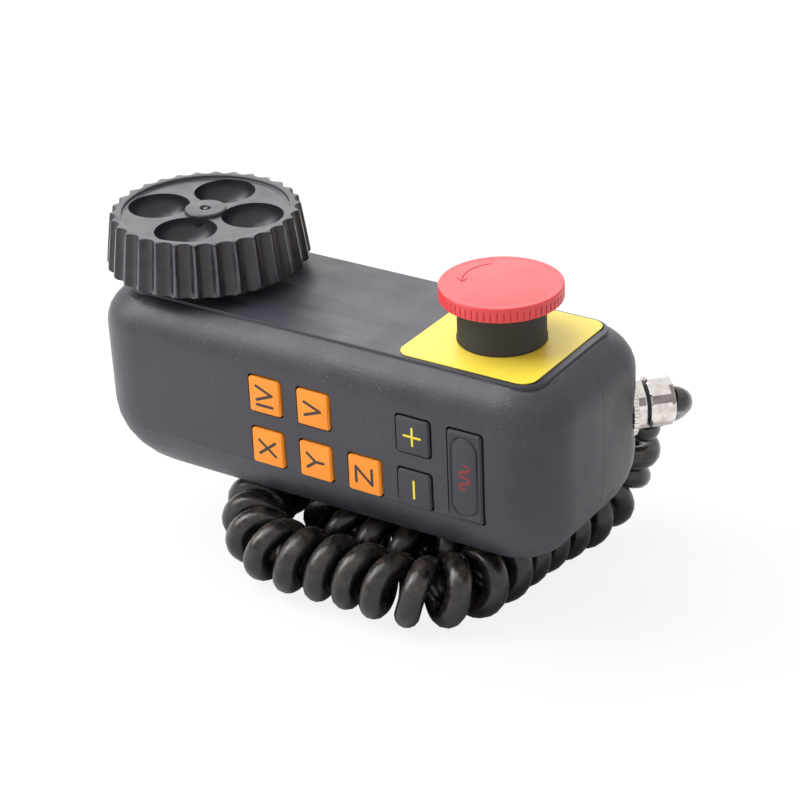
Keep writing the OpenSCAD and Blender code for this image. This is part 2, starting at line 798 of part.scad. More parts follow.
module estop_spring() {
    z0 = spring_floor + spring_wire / 2 + 0.1;
    z1 = head_roof - spring_wire / 2 - 0.2;
    steps = 12 * spring_turns;
    color("silver")
        sweep([for (i = [0:steps]) let (a = 30 * i)
            [estop_x + spring_d / 2 * cos(a), spring_d / 2 * sin(a), z0 + (z1 - z0) * i / steps]],
            spring_wire / 2, 6);
}

module mushroom_head() {
    edge = 0.9;
    color("crimson")
        translate([estop_x, 0, 0])
            rotate_extrude($fn = 96)
                polygon(concat(
                    [[0, head_roof], [head_bore, head_roof], [head_bore, head_z0 + 0.5],
                        [head_bore + 0.5, head_z0], [head_d / 2 - 0.6, head_z0], [head_d / 2, head_z0 + 0.6]],
                    [for (a = [0:18:90])
                        [head_d / 2 - edge + edge * cos(a), head_z1 - 1.3 - edge + edge * sin(a)]],
                    [[head_d / 2 - 3.5, head_z1 - 0.45], [head_d / 2 - 7, head_z1 - 0.12], [0, head_z1]]));
}

// ---------------------------------------------------------------- handwheel and pulse generator

module handwheel() {
    r0 = wheel_d / 2;
    r1 = wheel_top_d / 2;
    color("#26272a")
        translate([wheel_x, 0, 0])
            difference() {
                union() {
                    difference() {
                        rotate_extrude($fn = 128)
                            polygon([[0, face_z], [face_d / 2, face_z], [face_d / 2 + 0.6, wheel_z1 - 0.1],
                                [face_d / 2 + 0.9, wheel_z1], [r1 - 0.9, wheel_z1], [r1, wheel_z1 - 0.8],
                                [r0, wheel_z0 + 0.8], [r0 - 0.8, wheel_z0], [0, wheel_z0]]);
                        rotate_extrude($fn = 128)
                            polygon([[hub_d / 2, wheel_z0 - 1], [r0 - rim_wall, wheel_z0 - 1],
                                [r1 - rim_wall, face_z - wheel_wall - 1],
                                [r1 - rim_wall - 1, face_z - wheel_wall],
                                [hub_d / 2, face_z - wheel_wall]]);
                    }
                    for (i = [0:bowls - 1])
                        rotate([0, 0, bowl_turn + i * 360 / bowls])
                            translate([bowl_at, 0, face_z])
                                intersection() {
                                    sphere(r = bowl_r + wheel_wall);
                                    translate([0, 0, -bowl_r - wheel_wall - 1])
                                        cylinder(r = bowl_r + 4, h = bowl_r + wheel_wall);
                                }
                }
                for (i = [0:bowls - 1])
                    rotate([0, 0, bowl_turn + i * 360 / bowls])
                        translate([bowl_at, 0, face_z])
                            difference() {
                                sphere(r = bowl_r);
                                translate([-bowl_at, 0, -bowl_r - 1])
                                    cylinder(d = hub_boss_d, h = 2 * bowl_r);
                            }
                for (i = [0:flutes - 1])
                    rotate([0, 0, 360 * (i + 0.5) / flutes])
                        translate([(r0 + r1) / 2 + flute_d / 2 - flute_depth, 0, (wheel_z0 + wheel_z1) / 2])
                            rotate([0, -rim_lean, 0])
                                cylinder(d = flute_d, h = rim_h + 6, center = true, $fn = 32);
                translate([0, 0, hub_z0 - 3])
                    cylinder(d = shaft_d + 2 * seat, h = shaft_top + seat - hub_z0 + 3);
                translate([0, 0, shaft_top - 1])
                    cylinder(d = hub_screw_d + 0.3, h = 10);
                translate([0, 0, wheel_z1 - 2.2])
                    cylinder(d = 1.7 * hub_screw_d + 0.3, h = 5);
            }
    // hub below the rim's level, and the raised boss in the middle of the face
    color("#26272a")
        translate([wheel_x, 0, 0])
            difference() {
                union() {
                    translate([0, 0, hub_z0])
                        cylinder(d = hub_d, h = wheel_z0 - hub_z0 + 0.5);
                    translate([0, 0, face_z - 0.5])
                        cylinder(d1 = hub_boss_d + 1.2, d2 = hub_boss_d - 1.2,
                            h = wheel_z1 - 0.3 - face_z + 0.5);
                }
                translate([0, 0, hub_z0 - 1])
                    cylinder(d = shaft_d + 2 * seat, h = wheel_z0 - hub_z0 + 2);
                translate([0, 0, wheel_z1 - 2.2])
                    cylinder(d = 1.7 * hub_screw_d + 0.3, h = 5);
            }
}

module hub_screw() {
    color("silver")
        translate([wheel_x, 0, wheel_z1 - 2.2 + seat])
            cap_screw(hub_screw_d - 0.2, 12, 1.7 * hub_screw_d, 1.6);
}

module encoder_shaft() {
    color("silver")
        translate([wheel_x, 0, 0])
            difference() {
                translate([0, 0, disc_z - 6])
                    cylinder(d = shaft_d - 2 * fit + 0.06, h = shaft_top - disc_z + 6);
                translate([0, 0, shaft_top - 12])
                    cylinder(d = hub_screw_d, h = 20);
            }
}

module code_disc() {
    color("lightblue")
        translate([wheel_x, 0, disc_z])
            difference() {
                union() {
                    cylinder(d = disc_d, h = disc_t);
                    cylinder(d = shaft_d + 5, h = disc_t + 1.2);
                }
                translate([0, 0, -1])
                    cylinder(d = shaft_d, h = disc_t + 4);
                for (i = [0:35])
                    rotate([0, 0, 10 * i])
                        translate([disc_d / 2 - 4.2, -0.45, -1])
                            cube([3, 0.9, disc_t + 2]);
            }
}

module encoder_flange() {
    color("lightgray")
        translate([wheel_x, 0, 0])
            difference() {
                union() {
                    translate([0, 0, flange_z0])
                        cylinder(d = flange_d, h = flange_t - seat);
                    translate([0, 0, can_z1])
                        cylinder(d = can_d, h = cover_t);
                    translate([0, 0, barrel_z0])
                        cylinder(d = barrel_d, h = flange_z0 - barrel_z0 + 1);
                    translate([0, 0, flange_z0])
                        cylinder(d = pilot_d, h = pilot_top - flange_z0);
                }
                translate([0, 0, barrel_z0 + 1.5])
                    cylinder(d = bearing_d + 2 * seat, h = 60);
                translate([0, 0, barrel_z0 - 1])
                    cylinder(d = shaft_d + 3, h = 60);
                for (a = [45:90:315])
                    rotate([0, 0, a])
                        translate([flange_screws_at, 0, can_z1 - 1])
                            cylinder(d = flange_screw_d + 2 * seat, h = flange_t + cover_t + 2);
            }
}

module encoder_bearings() {
    color("silver")
        for (z = [barrel_z0 + 1.5 + seat, barrel_z0 + 1.5 + bearing_w + bearing_gap])
            translate([wheel_x, 0, z])
                difference() {
                    cylinder(d = bearing_d, h = bearing_w);
                    translate([0, 0, -1])
                        cylinder(d = shaft_d, h = bearing_w + 2);
                    translate([0, 0, bearing_w - 0.5])
                        difference() {
                            cylinder(d = bearing_d - 3, h = 1);
                            translate([0, 0, -1])
                                cylinder(d = shaft_d + 2.4, h = 3);
                        }
                }
}

module encoder_board() {
    color("seagreen")
        translate([wheel_x, 0, 0]) {
            difference() {
                translate([0, 0, enc_board_z - board_t])
                    cylinder(d = can_d - 2 * can_wall - 0.4, h = board_t);
                translate([0, 0, enc_board_z - board_t - 1])
                    cylinder(d = shaft_d + 4, h = board_t + 2);
            }
            translate([disc_d / 2 - 7, -4, enc_board_z - eps])
                cube([sensor_l, 8, sensor_h]);
        }
}

module encoder_can() {
    color("#3a3c40")
        translate([wheel_x, 0, can_z0])
            difference() {
                cylinder(d = can_d, h = can_h - seat);
                translate([0, 0, can_wall])
                    cylinder(d = can_d - 2 * can_wall, h = can_h);
                translate([-can_d / 2 + 1, 0, can_wall + 5])
                    rotate([0, 90, 0])
                        cylinder(d = 5, h = 6, center = true);
            }
}

// ---------------------------------------------------------------- keys and their board

// Key cap: pillow with a bevelled rim, a flange behind the wall and a stem to its switch
module key_cap(column, row, rows) {
    depth = flange_y - face_y;
    at_key(column, row, rows)
        difference() {
            union() {
                translate([0, 0, -depth])
                    linear_extrude(depth + cap_proud - 0.4)
                        key_outline(rows, 0);
                translate([0, 0, cap_proud - 0.4])
                    linear_extrude(0.4)
                        key_outline(rows, -0.3);
                translate([0, 0, -depth - cap_flange_t])
                    linear_extrude(cap_flange_t)
                        key_outline(rows, lip);
                for (s = rows == 1 ? [0] : [-0.5, 0.5])
                    translate([0, s * key_pitch, -(switch_y - face_y) - stem_in])
                        cylinder(d = stem_d, h = switch_y - face_y + 0.5);
            }
            if (rows > 1)
                translate([0, 0, cap_proud - 0.3])
                    linear_extrude(1)
                        difference() {
                            round_plate(-cap_w / 2 + 1.2, cap_w / 2 - 1.2, -cap_h / 2 - key_pitch / 2 + 1.6,
                                cap_h / 2 + key_pitch / 2 - 1.6, cap_w / 2 - 1.3);
                            round_plate(-cap_w / 2 + 2, cap_w / 2 - 2, -cap_h / 2 - key_pitch / 2 + 2.4,
                                cap_h / 2 + key_pitch / 2 - 2.4, cap_w / 2 - 2.1);
                        }
        }
}

module key_iv() { color("darkorange") key_cap(0, 0, 1); }
module key_v() { color("darkorange") key_cap(1, 0, 1); }
module key_x() { color("darkorange") key_cap(0, 1, 1); }
module key_y() { color("darkorange") key_cap(1, 1, 1); }
module key_z() { color("darkorange") key_cap(2, 1, 1); }
module key_plus() { color("#2a2b2e") key_cap(3, 0, 1); }
module key_minus() { color("#2a2b2e") key_cap(3, 1, 1); }
module key_rapid() { color("#2a2b2e") key_cap(4, 0, 2); }

// Every switch: one under each key, two under the tall one
SWITCHES = [[0, 0], [1, 0], [0, 1], [1, 1], [2, 1], [3, 0], [3, 1], [4, 0], [4, 1]];

module key_switches() {
    color("#202022")
        for (s = SWITCHES)
            at_key(s[0], s[1])
                translate([0, 0, -(board_y - face_y) + seat])
                    difference() {
                        translate([-switch_w / 2, -switch_w / 2, 0])
                            cube([switch_w, switch_w, switch_h - seat]);
                        translate([0, 0, 0.6])
                            cylinder(d = stem_d + 4 * fit, h = switch_h);
                    }
}

module key_board() {
    color("seagreen")
        translate([0, board_y + board_t + seat, 0])
            rotate([90, 0, 0])
                difference() {
                    linear_extrude(board_t)
                        round_plate(board_x0, board_x1, board_z0, board_z1, 2);
                    for (p = post_xz)
                        translate([p[0], p[1], -1])
                            cylinder(d = board_screw_d + 0.3, h = board_t + 2);
                }
}

module board_screws() {
    color("silver")
        for (p = post_xz)
            translate([p[0], board_y + board_t + 2 * seat, p[1]])
                rotate([-90, 0, 0])
                    cap_screw(board_screw_d - 0.1, board_screw_l, 1.8 * board_screw_d, 1.5);
}

// ---------------------------------------------------------------- cable gland

module gland_washer() {
    teeth = 28;
    color("silver")
        on_gland()
            translate([0, 0, gland_seat + seat])
                difference() {
                    cylinder(d = washer_d, h = washer_t - seat);
                    translate([0, 0, -1])
                        cylinder(d = gland_d + 0.4, h = washer_t + 2);
                    for (i = [0:teeth - 1])
                        rotate([0, 0, 360 * i / teeth])
                            translate([washer_d / 2 + 0.25, 0, -1])
                                cylinder(d = 1.4, h = washer_t + 2, $fn = 16);
                }
}

// Hexagon of width af across flats whose corners are turned down to a cylinder
module hexagon(af, h) {
    intersection() {
        rotate([0, 0, 30])
            cylinder(d = af / cos(30), h = h, $fn = 6);
        cylinder(d = af + 1.3, h = h);
    }
}

module gland_body() {
    color("silver")
        on_gland()
            difference() {
                union() {
                    translate([0, 0, gland_seat - pad_t - lock_t - 2])
                        cylinder(d = gland_d, h = dome_z0 + 4 - gland_seat + pad_t + lock_t + 2);
                    translate([0, 0, hex_z0 + seat])
                        hexagon(gland_af, gland_hex_t - seat);
                }
                translate([0, 0, -20])
                    cylinder(d = gland_bore, h = 90);
                translate([0, 0, dome_z0 - 2])
                    cylinder(d = seal_d + 2 * fit, h = 20);
            }
}

module gland_seal() {
    color("#202022")
        on_gland()
            translate([0, 0, dome_z0 - 2 + seat])
                difference() {
                    cylinder(d = seal_d, h = dome_z1 - dome_lip - dome_z0 + 2 - 2 * seat);
                    translate([0, 0, -1])
                        cylinder(d = cord_d - 1.4, h = 40);
                }
}

module gland_nut() {
    color("silver")
        on_gland()
            difference() {
                intersection() {
                    translate([0, 0, dome_z0 + seat])
                        hexagon(gland_af, dome_l - seat);
                    rotate_extrude($fn = 96)
                        polygon([[0, dome_z0], [gland_af / 2, dome_z0], [gland_af / 2 + 0.7, dome_z0 + 0.7],
                            [gland_af / 2 + 0.7, dome_z1 - 2.6], [gland_af / 2 + 0.2, dome_z1 - 1.8],
                            [gland_af / 2 - 0.8, dome_z1 - 0.9], [gland_af / 2 - 2.2, dome_z1], [0, dome_z1]]);
                }
                translate([0, 0, dome_z0 - 1])
                    cylinder(d = gland_d + 2 * fit, h = 5.2);
                translate([0, 0, dome_z0 - 1])
                    cylinder(d = seal_d + 2 * fit, h = dome_l - dome_lip + 1);
                translate([0, 0, dome_z0 - 1])
                    cylinder(d = gland_bore + 0.6, h = dome_l + 5);
            }
}

module gland_locknut() {
    color("silver")
        on_gland()
            translate([0, 0, gland_seat - pad_t - lock_t])
                difference() {
                    hexagon(gland_af + 1, lock_t - seat);
                    translate([0, 0, -1])
                        cylinder(d = gland_d + 2 * fit, h = lock_t + 2);
                }
}

// ---------------------------------------------------------------- cord and plug

module cord_lead() {
    color("#202022")
        sweep(smooth_path(lead_path, 2), cord_d / 2, cord_sides);
}

module cord_curl() {
    color("#202022")
        sweep(smooth_path(curl_path, 2), curl_ring_r, curl_sides);
}

module cord_tail() {
    color("#202022")
        sweep(smooth_path(tail_path, 2), cord_d / 2, cord_sides);
}

module plug_nut() {
    color("silver")
        on_plug()
            difference() {
                union() {
                    translate([0, 0, seat])
                        cylinder(d1 = plug_nut_d - 4, d2 = plug_nut_d, h = 3);
                    translate([0, 0, 3])
                        cylinder(d = plug_nut_d, h = plug_nut_l - 3);
                }
                translate([0, 0, 1.5])
                    cylinder(d = cord_d + 1, h = 40);
                for (i = [0:7])
                    rotate([0, 0, 45 * i])
                        translate([plug_nut_d / 2 + 0.8, 0, 4])
                            cylinder(d = 3, h = plug_nut_l - 7);
            }
}

module plug_shell() {
    color("silver")
        on_plug()
            difference() {
                union() {
                    translate([0, 0, plug_nut_l + seat])
                        cylinder(d = plug_grip_d - 3, h = 3);
                    translate([0, 0, plug_nut_l + 3])
                        cylinder(d = plug_grip_d, h = plug_grip_l);
                    translate([0, 0, plug_nut_l + 3 + plug_grip_l - eps])
                        cylinder(d = plug_thread_d, h = plug_thread_l);
                }
                translate([0, 0, plug_nut_l + 6])
                    cylinder(d = plug_thread_d - 4, h = 80);
                translate([0, 0, plug_nut_l - 1])
                    cylinder(d = cord_d + 1, h = 20);
                for (i = [0:23])
                    rotate([0, 0, 15 * i])
                        translate([plug_grip_d / 2 + 0.5, 0, plug_nut_l + 6])
                            cylinder(d = 2, h = plug_grip_l - 6, $fn = 16);
            }
}

plug_face = plug_nut_l + 3 + plug_grip_l + plug_thread_l - 1.2;

// Places of the contacts: a ring of them, and three in the middle
function contact_places() = concat(
    [for (i = [0:plug_contacts - 1]) (plug_thread_d / 2 - 4.6) * [cos(360 * i / plug_contacts),
        sin(360 * i / plug_contacts)]],
    [for (i = [0:2]) 2.4 * [cos(120 * i + 60), sin(120 * i + 60)]]);

module plug_insert() {
    color("#d8d4c8")
        on_plug()
            difference() {
                translate([0, 0, plug_nut_l + 6 + seat])
                    cylinder(d = plug_thread_d - 4 - 2 * fit, h = plug_face - plug_nut_l - 6 - seat);
                for (p = contact_places())
                    translate([p[0], p[1], plug_face - 8])
                        cylinder(d = 1.9, h = 20, $fn = 24);
            }
}

module plug_contacts() {
    color("gold")
        on_plug()
            for (p = contact_places())
                translate([p[0], p[1], plug_face - 8 + seat])
                    difference() {
                        cylinder(d = 1.8, h = 7.6, $fn = 24);
                        translate([0, 0, 3])
                            cylinder(d = 1.1, h = 20, $fn = 24);
                    }
}

front_shell();
rear_shell();
shell_screws();
top_panel();
panel_screws();
warning_plate();
estop_collar();
estop_nut();
contact_block();
estop_plunger();
estop_spring();
mushroom_head();
handwheel();
hub_screw();
encoder_shaft();
code_disc();
encoder_flange();
encoder_bearings();
encoder_board();
encoder_can();
flange_screws();
key_board();
board_screws();
key_switches();
key_iv();
key_v();
key_x();
key_y();
key_z();
key_plus();
key_minus();
key_rapid();
holding_magnets();
gland_washer();
gland_body();
gland_seal();
gland_nut();
gland_locknut();
cord_lead();
cord_curl();
cord_tail();
plug_nut();
plug_shell();
plug_insert();
plug_contacts();
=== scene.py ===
# Handwheel pendant for a machine tool: materials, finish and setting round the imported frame.
# Everything is in metres, in the frame's own axes: +X emergency stop end, -Y key face, +Z handwheel.
import bpy
import bmesh
import json
import math
import numpy as np
from mathutils import Matrix, Vector

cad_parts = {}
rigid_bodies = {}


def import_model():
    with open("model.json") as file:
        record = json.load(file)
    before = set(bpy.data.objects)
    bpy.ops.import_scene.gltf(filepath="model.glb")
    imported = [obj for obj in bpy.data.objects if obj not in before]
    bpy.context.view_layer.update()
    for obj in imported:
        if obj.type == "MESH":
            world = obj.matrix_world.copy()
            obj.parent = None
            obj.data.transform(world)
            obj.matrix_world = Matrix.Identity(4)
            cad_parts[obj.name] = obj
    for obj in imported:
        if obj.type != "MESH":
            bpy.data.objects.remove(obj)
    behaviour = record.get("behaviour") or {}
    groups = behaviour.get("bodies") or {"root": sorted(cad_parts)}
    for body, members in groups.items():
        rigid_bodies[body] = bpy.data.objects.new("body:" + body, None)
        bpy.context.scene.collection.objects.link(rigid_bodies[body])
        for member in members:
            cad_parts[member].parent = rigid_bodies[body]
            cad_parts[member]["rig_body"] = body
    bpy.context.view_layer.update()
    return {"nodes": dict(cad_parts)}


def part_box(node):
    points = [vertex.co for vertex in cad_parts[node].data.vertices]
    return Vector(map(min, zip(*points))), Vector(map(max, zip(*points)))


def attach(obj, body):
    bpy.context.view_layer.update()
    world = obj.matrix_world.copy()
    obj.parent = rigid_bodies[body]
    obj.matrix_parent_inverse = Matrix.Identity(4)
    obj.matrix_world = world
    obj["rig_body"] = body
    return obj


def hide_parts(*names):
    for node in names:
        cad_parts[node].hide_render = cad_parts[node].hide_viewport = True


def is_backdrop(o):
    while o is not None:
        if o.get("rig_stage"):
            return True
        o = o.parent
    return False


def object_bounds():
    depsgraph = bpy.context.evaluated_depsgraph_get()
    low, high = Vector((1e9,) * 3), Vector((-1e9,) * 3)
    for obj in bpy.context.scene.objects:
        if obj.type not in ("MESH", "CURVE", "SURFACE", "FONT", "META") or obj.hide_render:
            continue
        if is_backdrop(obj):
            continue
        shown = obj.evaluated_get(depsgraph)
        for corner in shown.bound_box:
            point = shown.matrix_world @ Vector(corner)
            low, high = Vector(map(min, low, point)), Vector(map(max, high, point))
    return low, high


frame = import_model()
MM = 0.001

# ------------------------------------------------------------------ places, read from the frame
wheel_low, wheel_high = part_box("handwheel")
head_low, head_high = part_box("mushroom_head")
shell_low, shell_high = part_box("front_shell")
wheel_x = (wheel_low.x + wheel_high.x) / 2
estop_x = (head_low.x + head_high.x) / 2
nut_low, nut_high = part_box("gland_nut")
gland_at = (nut_low + nut_high) / 2
gland_axis = Vector((1, 1, 0)).normalized()

# ------------------------------------------------------------------ camera
# A long lens, from above the key face and to the right
camera_data = bpy.data.cameras.new("camera")
camera_data.sensor_width = 36
camera_data.lens = 109.0
camera_data.clip_end = 20
camera = bpy.data.objects.new("camera", camera_data)
camera.location = (0.4219, -0.60416, 0.37111)
camera.rotation_euler = (math.radians(62.393), math.radians(2.149), math.radians(32.698))
bpy.context.scene.collection.objects.link(camera)
bpy.context.scene.camera = camera


# ------------------------------------------------------------------ small tools
def srgb(text):
    """A colour written as sRGB hex, as linear RGBA."""
    parts = [int(text[i:i + 2], 16) / 255 for i in (1, 3, 5)]
    return tuple(c / 12.92 if c <= 0.04045 else ((c + 0.055) / 1.055) ** 2.4 for c in parts) + (1.0,)


def material(name):
    """An empty node material, and its tree."""
    m = bpy.data.materials.new(name)
    m.use_nodes = True
    m.node_tree.nodes.clear()
    return m, m.node_tree


def add(tree, kind, settings=None, **inputs):
    """Adds a node; settings are its properties, inputs are values or sockets for its inputs.
    An input goes by its name, or by its number as in i0."""
    n = tree.nodes.new(kind)
    for key, value in (settings or {}).items():
        setattr(n, key, value)
    for key, value in inputs.items():
        numbered = key[0] == "i" and key[1:].isdigit()
        socket = n.inputs[int(key[1:]) if numbered else key.replace("_", " ")]
        if isinstance(value, bpy.types.NodeSocket):
            tree.links.new(value, socket)
        else:
            socket.default_value = value
    return n


def piece(name, bm, mat, body, smooth=40, edges=None, replaces=()):
    """Turns a bmesh into a named piece on a body: smooth up to an angle, and its edges rounded.
    edges is (width in mm, segments, angle): edges sharper than the angle are rounded."""
    if edges:
        weight = bm.edges.layers.float.new("bevel_weight_edge")
        for e in bm.edges:
            e[weight] = float(len(e.link_faces) == 2 and e.is_convex
                              and e.calc_face_angle(0) > math.radians(edges[2]))
    mesh = bpy.data.meshes.new(name)
    bm.to_mesh(mesh)
    bm.free()
    mesh.materials.clear()
    mesh.materials.append(mat)
    mesh.shade_smooth()
    mesh.set_sharp_from_angle(angle=math.radians(smooth))
    obj = bpy.data.objects.new(name, mesh)
    bpy.context.scene.collection.objects.link(obj)
    if edges:
        b = obj.modifiers.new("rounded_edges", "BEVEL")
        b.width = edges[0] * MM
        b.segments = edges[1]
        b.limit_method = "WEIGHT"
        b.use_clamp_overlap = False
        b.harden_normals = True
    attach(obj, body)
    if replaces:
        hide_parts(*replaces)
    return obj


def paint(obj, mats, pick):
    """Adds materials to a piece and gives each face the one whose number pick(face) returns; 0 is its first."""
    for mat in mats:
        obj.data.materials.append(mat)
    for f in obj.data.polygons:
        f.material_index = pick(f)


def from_node(node, flatten=0.6, keep=None):
    """A copy of a frame node's mesh as a bmesh, its flat faces whole again; keep says which faces stay."""
    bm = bmesh.new()
    bm.from_mesh(frame["nodes"][node].data)
    bmesh.ops.remove_doubles(bm, verts=bm.verts, dist=0.002 * MM)
    bmesh.ops.dissolve_limit(bm, angle_limit=math.radians(flatten), use_dissolve_boundaries=False,
                             verts=bm.verts, edges=bm.edges, delimit=set())
    if keep:
        bmesh.ops.delete(bm, geom=[f for f in bm.faces if not keep(f)], context="FACES")
    for f in bm.faces:
        f.material_index = 0
    return bm


def dress(node, mat, edges, smooth=40, reshape=None):
    """A frame node's own form, reshaped if asked, with rounded edges and a material."""
    bm = from_node(node)
    if reshape:
        reshape(bm)
    return piece(node + "_finish", bm, mat, body_of(node), smooth, edges, (node,))


def turned(profile, segments, shape=None):
    """A turned form about Z from (radius, height) pairs in mm, closed where a radius is 0.
    shape(radius, height, angle) may move each point in and out."""
    bm = bmesh.new()
    ring = bmesh.ops.create_circle(bm, segments=segments, radius=1, cap_ends=False)
    edges = list(bm.edges)
    rows = [ring["verts"]]
    for _ in profile[1:]:
        grown = bmesh.ops.extrude_edge_only(bm, edges=edges)["geom"]
        edges = [g for g in grown if isinstance(g, bmesh.types.BMEdge)]
        rows.append([g for g in grown if isinstance(g, bmesh.types.BMVert)])
    for (r, z), row in zip(profile, rows):
        for v in row:
            a = math.atan2(v.co.y, v.co.x)
            q = shape(r, z, a) if shape else r
            v.co = (q * math.cos(a) * MM, q * math.sin(a) * MM, z * MM)
    bmesh.ops.remove_doubles(bm, verts=bm.verts, dist=0.0005 * MM)
    bmesh.ops.recalc_face_normals(bm, faces=bm.faces)
    return bm


def round_corner(cx, cz, r, a0, a1, n=5):
    """Points of an arc in a turned profile, angles in degrees."""
    angles = [math.radians(a0 + (a1 - a0) * i / n) for i in range(n + 1)]
    return [(cx + r * math.cos(a), cz + r * math.sin(a)) for a in angles]


def moved(bm, place):
    """The same bmesh, moved to a place."""
    bmesh.ops.translate(bm, verts=bm.verts, vec=place)
    return bm


def body_of(node):
    """The body that a frame node belongs to."""
    return frame["nodes"][node]["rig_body"]


# ------------------------------------------------------------------ materials
def moulded(name, base, light, rough=0.5, grain=0.35, depth=0.02, speck=None, mottle=14.0, dust=None,
            spread=0.08):
    """Moulded plastic: a fine spark-eroded grain, slow colour drift, and specks of dust if asked.
    grain is the grain size and mottle the drift's size, in mm; depth is the bump's height in mm. Real grain is
    about 0.1 mm across, and is drawn as coarse as it needs to show.
    spread is how far the roughness drifts each way. speck is (colour, strength).
    dust is (colour, strength, patch size in mm, the normal's z where it starts and where it is full)."""
    m, t = material(name)
    at = add(t, "ShaderNodeTexCoord").outputs["Object"]
    drift = add(t, "ShaderNodeTexNoise", None, Vector=at, Scale=1000 / mottle, Detail=3.0, Roughness=0.55)
    tint = add(t, "ShaderNodeMapRange", None, i0=drift.outputs["Fac"], i1=0.35, i2=0.68)
    colour = add(t, "ShaderNodeMix", {"data_type": "RGBA"}, i0=tint.outputs[0], i6=srgb(base), i7=srgb(light))
    shade = colour.outputs[2]
    if speck:
        spots = add(t, "ShaderNodeTexNoise", None, Vector=at, Scale=1000 / 0.7, Detail=2.0, Roughness=0.6)
        few = add(t, "ShaderNodeMapRange", None, i0=spots.outputs["Fac"], i1=0.62, i2=0.72)
        field = add(t, "ShaderNodeTexNoise", None, Vector=at, Scale=1000 / 26.0, Detail=2.0)
        thick = add(t, "ShaderNodeMapRange", None, i0=field.outputs["Fac"], i1=0.35, i2=0.62, i3=0.25, i4=1.0)
        gather = add(t, "ShaderNodeMath", {"operation": "MULTIPLY"}, i0=few.outputs[0], i1=thick.outputs[0])
        where = add(t, "ShaderNodeMath", {"operation": "MULTIPLY"}, i0=gather.outputs[0], i1=speck[1])
        shade = add(t, "ShaderNodeMix", {"data_type": "RGBA"}, i0=where.outputs[0], i6=shade,
                    i7=srgb(speck[0])).outputs[2]
    if dust:
        up = add(t, "ShaderNodeSeparateXYZ", None, Vector=add(t, "ShaderNodeNewGeometry").outputs["Normal"])
        patch = add(t, "ShaderNodeTexNoise", None, Vector=at, Scale=1000 / dust[2], Detail=5.0, Roughness=0.65)
        lies = add(t, "ShaderNodeMapRange", None, i0=up.outputs[2], i1=dust[3], i2=dust[4])
        some = add(t, "ShaderNodeMapRange", None, i0=patch.outputs["Fac"], i1=0.38, i2=0.7)
        both = add(t, "ShaderNodeMath", {"operation": "MULTIPLY"}, i0=lies.outputs[0], i1=some.outputs[0])
        much = add(t, "ShaderNodeMath", {"operation": "MULTIPLY"}, i0=both.outputs[0], i1=dust[1])
        shade = add(t, "ShaderNodeMix", {"data_type": "RGBA"}, i0=much.outputs[0], i6=shade,
                    i7=srgb(dust[0])).outputs[2]
    fine = add(t, "ShaderNodeTexNoise", None, Vector=at, Scale=1000 / grain, Detail=2.0, Roughness=0.6)
    matt = add(t, "ShaderNodeMapRange", None, i0=drift.outputs["Fac"], i1=0.3, i2=0.7, i3=rough - spread,
               i4=rough + spread)
    bump = add(t, "ShaderNodeBump", None, Height=fine.outputs["Fac"], Distance=depth * MM, Strength=1.0)
    surface = add(t, "ShaderNodeBsdfPrincipled", None, Base_Color=shade, Roughness=matt.outputs[0],
                  Normal=bump.outputs[0], IOR=1.5)
    add(t, "ShaderNodeOutputMaterial", None, Surface=surface.outputs[0])
    return m


def metal(name, base, dark, rough=0.3, brush=0.5, depth=0.006):
    """Plated or bare metal: fine tooling marks, slow tarnish. A metal's IOR is left as it is.
    brush is the marks' size and depth their height, in mm. Real marks are finer, and are drawn to show."""
    m, t = material(name)
    at = add(t, "ShaderNodeTexCoord").outputs["Object"]
    slow = add(t, "ShaderNodeTexNoise", None, Vector=at, Scale=1000 / 4.0, Detail=4.0, Roughness=0.6)
    tarnish = add(t, "ShaderNodeMapRange", None, i0=slow.outputs["Fac"], i1=0.45, i2=0.75)
    colour = add(t, "ShaderNodeMix", {"data_type": "RGBA"}, i0=tarnish.outputs[0], i6=srgb(base), i7=srgb(dark))
    fine = add(t, "ShaderNodeTexNoise", None, Vector=at, Scale=1000 / brush, Detail=3.0, Roughness=0.7)
    matt = add(t, "ShaderNodeMapRange", None, i0=slow.outputs["Fac"], i1=0.3, i2=0.75, i3=rough - 0.08,
               i4=rough + 0.15)
    bump = add(t, "ShaderNodeBump", None, Height=fine.outputs["Fac"], Distance=depth * MM, Strength=1.0)
    surface = add(t, "ShaderNodeBsdfPrincipled", None, Base_Color=colour.outputs[2], Metallic=1.0,
                  Roughness=matt.outputs[0], Normal=bump.outputs[0])
    add(t, "ShaderNodeOutputMaterial", None, Surface=surface.outputs[0])
    return m


# ABS with a spark-eroded texture: matte charcoal that greys where light grazes it, with stray dust
abs_housing = moulded("textured_abs_charcoal", "#2a2a32", "#32323b", rough=0.44, grain=0.9, depth=0.07,
                      speck=("#8a867e", 0.32))
# The same moulding powder in the flat lid, a little smoother
abs_panel = moulded("textured_abs_lid", "#2d2d37", "#35353f", rough=0.46, grain=0.8, depth=0.035)
# Phenolic handwheel: satin black with grime in the flutes
phenolic = moulded("satin_phenolic_black", "#22222a", "#292932", rough=0.34, grain=0.8, depth=0.008, mottle=9)
# The same moulding in the grip: satin, with brown dust worn into the flutes
phenolic_grip = moulded("worn_phenolic_grip", "#1c1c22", "#24242b", rough=0.3, grain=0.9, depth=0.012, mottle=5,
                        dust=("#463c37", 0.4, 4.0, 0.6, 0.25))
# The lands between the flutes: polished smoother by hands, and lighter as a painted highlight
land_painted_highlight = moulded("phenolic_land_painted_highlight", "#4c4c56", "#5a5a64", rough=0.24, grain=0.9, depth=0.004, mottle=4)
# Printed polyester foil: even yellow under a satin lacquer
foil = moulded("satin_foil_yellow", "#f5dc45", "#f8e350", rough=0.4, grain=0.6, depth=0.004, mottle=30, spread=0.03)
